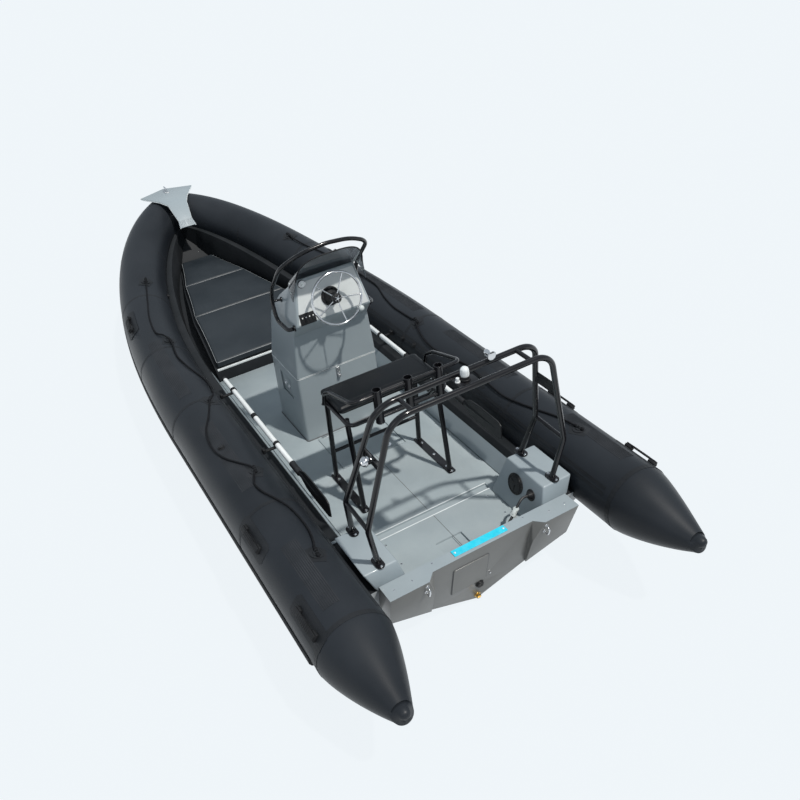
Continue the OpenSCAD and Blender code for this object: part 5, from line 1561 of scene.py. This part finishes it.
def buildLifelines():
    ropes, patches = [], []
    for side, route, angles in ((1, linePort, fit["patchPort"]), (-1, lineStarboard, fit["patchStarboard"])):
        points = softened([onCollar(runOf(w), a, lift / 1000) for w, a, lift in route], 5)
        line = pipe(points, fit["rope"], 5)
        local = [line]
        for (w, a, g) in zip(fit["patchPlaces"], angles, fit["patchGap"]):
            run = runOf(w)
            at = onCollar(run, a, g + .0125)
            k = min(range(len(points)), key=lambda i: (points[i] - at).length)
            along = (points[min(k + 1, len(points) - 1)] - points[max(k - 1, 0)]).normalized()
            middle = points[k]
            for d in (-.019, .019):
                local.append(ball(middle + along * d * 1.45, .0108, .85, along, 20))
                local.append(ringOf(middle + along * d * 1.1, along, .0068, .0034, 20, 8))
            pad = wrapped(flatShape(circleOutline(.038, 40), .0052, .0016, .02), run, a, 1, g + .0006)
            flap = flatShape([(-.062, -.046), (.040, -.056), (.064, 0), (.040, .056), (-.062, .046)], .0011,
                             0, .02)
            tape = wrapped(flap, run, a, 1, .0002 if g < .003 else g - .0008, 20 * (k % 3 - 1))
            place = seatOn(run, a, g + .0055)
            hold = [pad, tape]
            for d in (-.010, .010):
                hold.append(ringOf(middle + along * d, along, .0088, .0030, 24, 8))
            upward = place.to_3x3().col[2]
            strapTurn = Matrix((along, upward.cross(along).normalized(), upward)).transposed().to_4x4()
            strapAt = Matrix.Translation(middle) @ strapTurn
            strap = box((-.016, -.020, -.0068), (.016, .020, -.0030), .0014)
            hold.append(placed(strap, strapAt))
            patches += hold if side > 0 else [mirroredOnly(h) for h in hold]
        ropes += local if side > 0 else [mirroredOnly(h) for h in local]
    done(ropes, "lifelines", "rope", replaces=["lifelines"])
    done(smooth(join(patches)), "lifelinePatches", "clothPatch",
         replaces=["lifeline_patches"])


def mirroredOnly(obj):
    other = mirrored(obj)
    bpy.data.objects.remove(obj)
    return other


def buildHandles():
    grips, patches = [], []
    for w, a, g in fit["handles"]:
        run = runOf(w)
        place = seatOn(run, a, g)
        strap = box((-.114, -.0155, .0170), (.114, .0155, .0275), .0040, 3)
        parts = onFace(place, strap)
        for k in range(9):
            x = -.06 + .015 * k
            parts.append(placed(box((x - .0035, -.0165, .0162), (x + .0035, .0165, .0284), .002), place))
        for s in (-1, 1):
            foot = box((s * .093 - .022, -.022, .0006), (s * .093 + .022, .022, .0180), .004, 3)
            parts.append(placed(foot, place))
        grips.append(smooth(join(parts)))
        half, tall, cut = .168, .062, .022
        outline = [(half - cut, tall), (-half + cut, tall), (-half, tall - cut), (-half, -tall + cut),
                   (-half + cut, -tall), (half - cut, -tall),
                   (half, -tall + cut), (half, tall - cut)]
        lift = .0002 if g < .003 else g - .0012
        patches.append(wrapped(flatShape(outline, .0012, 0, .02), run, a, 1, lift))
    done(twin(grips), "handles", "rubber", replaces=["carry_handles"])
    done(twin(patches), "handlePatches", "clothPatch")


def bandOn(run, low, high, width, lift=.0001, thick=.0010):
    half = math.radians(high - low) * collar["radius"] / 2
    return wrapped(flatShape([(-width / 2, -half), (width / 2, -half), (width / 2, half),
                              (-width / 2, half)], thick, 0, .03),
                   run, (low + high) / 2, 1, lift)


def buildSeams():
    bands = [bandOn(-2.275, -178, 178, .030), bandOn(-1.28, -178, 178, .024), bandOn(-.02, -178, 60, .024),
             bandOn(.86, -178, 60, .024),
             bandOn(1.78, -178, 20, .024), bandOn(2.62, -178, 10, .024), bandOn(3.25, -178, 0, .024)]
    for low in (-26, -35):
        strip = flatShape([(-1.5, -.010), (1.5, -.010), (1.5, .010), (-1.5, .010)], .0010, 0, .05)
        bands.append(wrapped(strip, -.72, low, 1, .0001))
    done(twin(bands), "collarBands", "clothPatch")
    grips = []
    for run, long in ((-1.90, .52), (-.70, .78), (.55, .9)):
        for k in range(9):
            strip = flatShape([(-long / 2, -.0028), (long / 2, -.0028), (long / 2, .0028),
                               (-long / 2, .0028)], .0014, 0, .03)
            grips.append(wrapped(strip, run, -112 + 3.0 * k, 1, .0002))
    done(twin(grips), "gripBands", "grip")


def buildValves():
    caps, bases = [], []
    for side, w, a in ((1, .365, -10), (-1, -20, -26), (-1, -173, -29), (1, -620, -100)):
        place = seatOn(runOf(w), a, .0004)
        base = onFace(place, rod((0, 0, 0), (0, 0, .0042), .0240, .0014, 40),
                      ringOf((0, 0, .0045), (0, 0, 1), .0185, .0020, 40, 8))
        cap = onFace(place, rod((0, 0, .004), (0, 0, .0105), .0135, .0014, 32),
                     box((-.0100, -.0018, .0100), (.0100, .0018, .0125), .0006))
        bases += base if side > 0 else [mirroredOnly(p) for p in base]
        caps += cap if side > 0 else [mirroredOnly(p) for p in cap]
    done(bases, "valveBases", "rubber")
    done(caps, "valveCaps", "plastic")


buildStrakes()
buildLifelines()
buildHandles()
buildSeams()
buildValves()
print("collar fittings ready")

# bow

bow = {"x": 5.391, "plate": .8457, "cleat": 5.490}


def buildBow():
    x, z = bow["cleat"], bow["plate"] + .0003
    cleat = [box((x - .045, -.022, z), (x + .045, .022, z + .005), .002, 3)]
    for dx in (-.022, .022):
        cleat.append(rod((x + dx, 0, z + .003), (x + dx, 0, z + .040), .0075, .001, 24, .0065))
    cleat.append(rod((x - .040, 0, z + .036), (x + .040, 0, z + .036), .0078, .001, 24))
    for s in (-1, 1):
        cleat.append(ball((x + s * .041, 0, z + .036), .0079, sides=24))
        for y in (-.014, .014):
            cleat.append(rod((x + s * .036, y, z + .004), (x + s * .036, y, z + .0062), .0034, .0005, 12))
    done(cleat, "bowCleat", "steel", replaces=["bow_cleat"])
    done(cadCopy("bow_eye", 0), "bowEye", "steel", replaces=["bow_eye"])
    rows = [(-.469, .077, .663), (-.404, .065, .716), (-.261, .092, .833), (-.141, .140, .8457),
            (.094, .263, .8457), (.200, .022, .8457)]
    lip = []
    for s in (-1, 1):
        edge = [Vector((bow["x"] + dx, s * (y - .003), h - .010)) for dx, y, h in rows]
        lip.append(pipe(bends(edge, .02, 4), .0058, 4))
    done(lip, "plateEdge", "paleEdge")
    ribs = []
    a, b = Vector((bow["x"] - .466, 0, .6655)), Vector((bow["x"] - .408, 0, .7145))
    along = (b - a).normalized()
    out = Vector((-along.z, 0, along.x))
    for k in range(15):
        y = -.063 + .009 * k
        if k == 7:
            continue
        f = Matrix.Translation(a + out * .0004 + Vector((0, y, 0))) @ Matrix((along, Vector((0, 1, 0)),
                along.cross(Vector((0, 1, 0))))).transposed().to_4x4()
        ribs.append(placed(box((.004, -.0022, -.0010), (.070, .0022, .0018), .0006), f))
    done(ribs, "plateRibs", "deck")
    tapes = []
    for run, low, high, width in ((runOf(.905), -128, -38, .034), (runOf(.868), -112, -30, .012)):
        tapes.append(bandOn(run, low, high, width, .0002, .0008))
    done(twin(tapes), "bowTapes", "strip")


buildBow()

# oars

oar = {"y": .597, "z": .430, "r": .017, "x": (1.240, 2.450), "clips": (1.480, 2.260)}


def buildOars():
    xa, xb = oar["x"]
    y, z = oar["y"], oar["z"]
    shaft = rod((xa, y, z), (xb, y, z), oar["r"], .0015, 40)
    done(twin(shaft), "oarShafts", "alloy", replaces=["oar_shafts"])
    parts = [rod((1.120, y, z), (xa - .0003, y, z), .021, .003, 40, .0205),
             ringOf((xa - .004, y, z), (1, 0, 0), .0190, .0022, 40, 8)]
    outline = [(1.126, -.020), (1.126, .020), (1.040, .064), (.930, .072), (.740, .068), (.706, .050),
               (.706, -.050), (.740, -.068), (.930, -.072), (1.040, -.064)]
    plate = flatShape(outline, .009, .003)
    for v in plate.data.vertices:
        v.co = (v.co.x, y + .0045 - v.co.z, z + v.co.y)
    parts.append(smooth(outward(bevelled(plate, .002, 2, 60))))
    spine = rod((.760, y, z), (1.124, y, z), .0062, .001, 24, .0170)
    for v in spine.data.vertices:
        v.co.y = y + (v.co.y - y) * .82
    parts.append(spine)
    done(twin(parts), "oarBlades", "plastic", replaces=["oar_blades"])
    clips = []
    for x in oar["clips"]:
        clips.append(rod((x - .013, y, z), (x + .013, y, z), oar["r"] + .0045, .0020, 40))
        clips.append(box((x - .011, y + .004, z - .024), (x + .011, y + .099, z - .012), .003, 3))
        clips.append(box((x - .016, y + .082, z - .026), (x + .016, y + .101, z + .004), .003, 3))
    done(twin(smooth(join(clips))), "oarClips", "rubber", replaces=["oar_clips"])
    rings = [rod((1.838, y, z), (1.882, y, z), oar["r"] + .0026, .0015, 40)]
    rings.append(rod((xb - .024, y, z), (xb - .0002, y, z), oar["r"] + .0012, .0015, 40))
    done(twin(rings), "oarRings", "rubber")


buildOars()
print("bow and oars ready")

print("pieces ready")
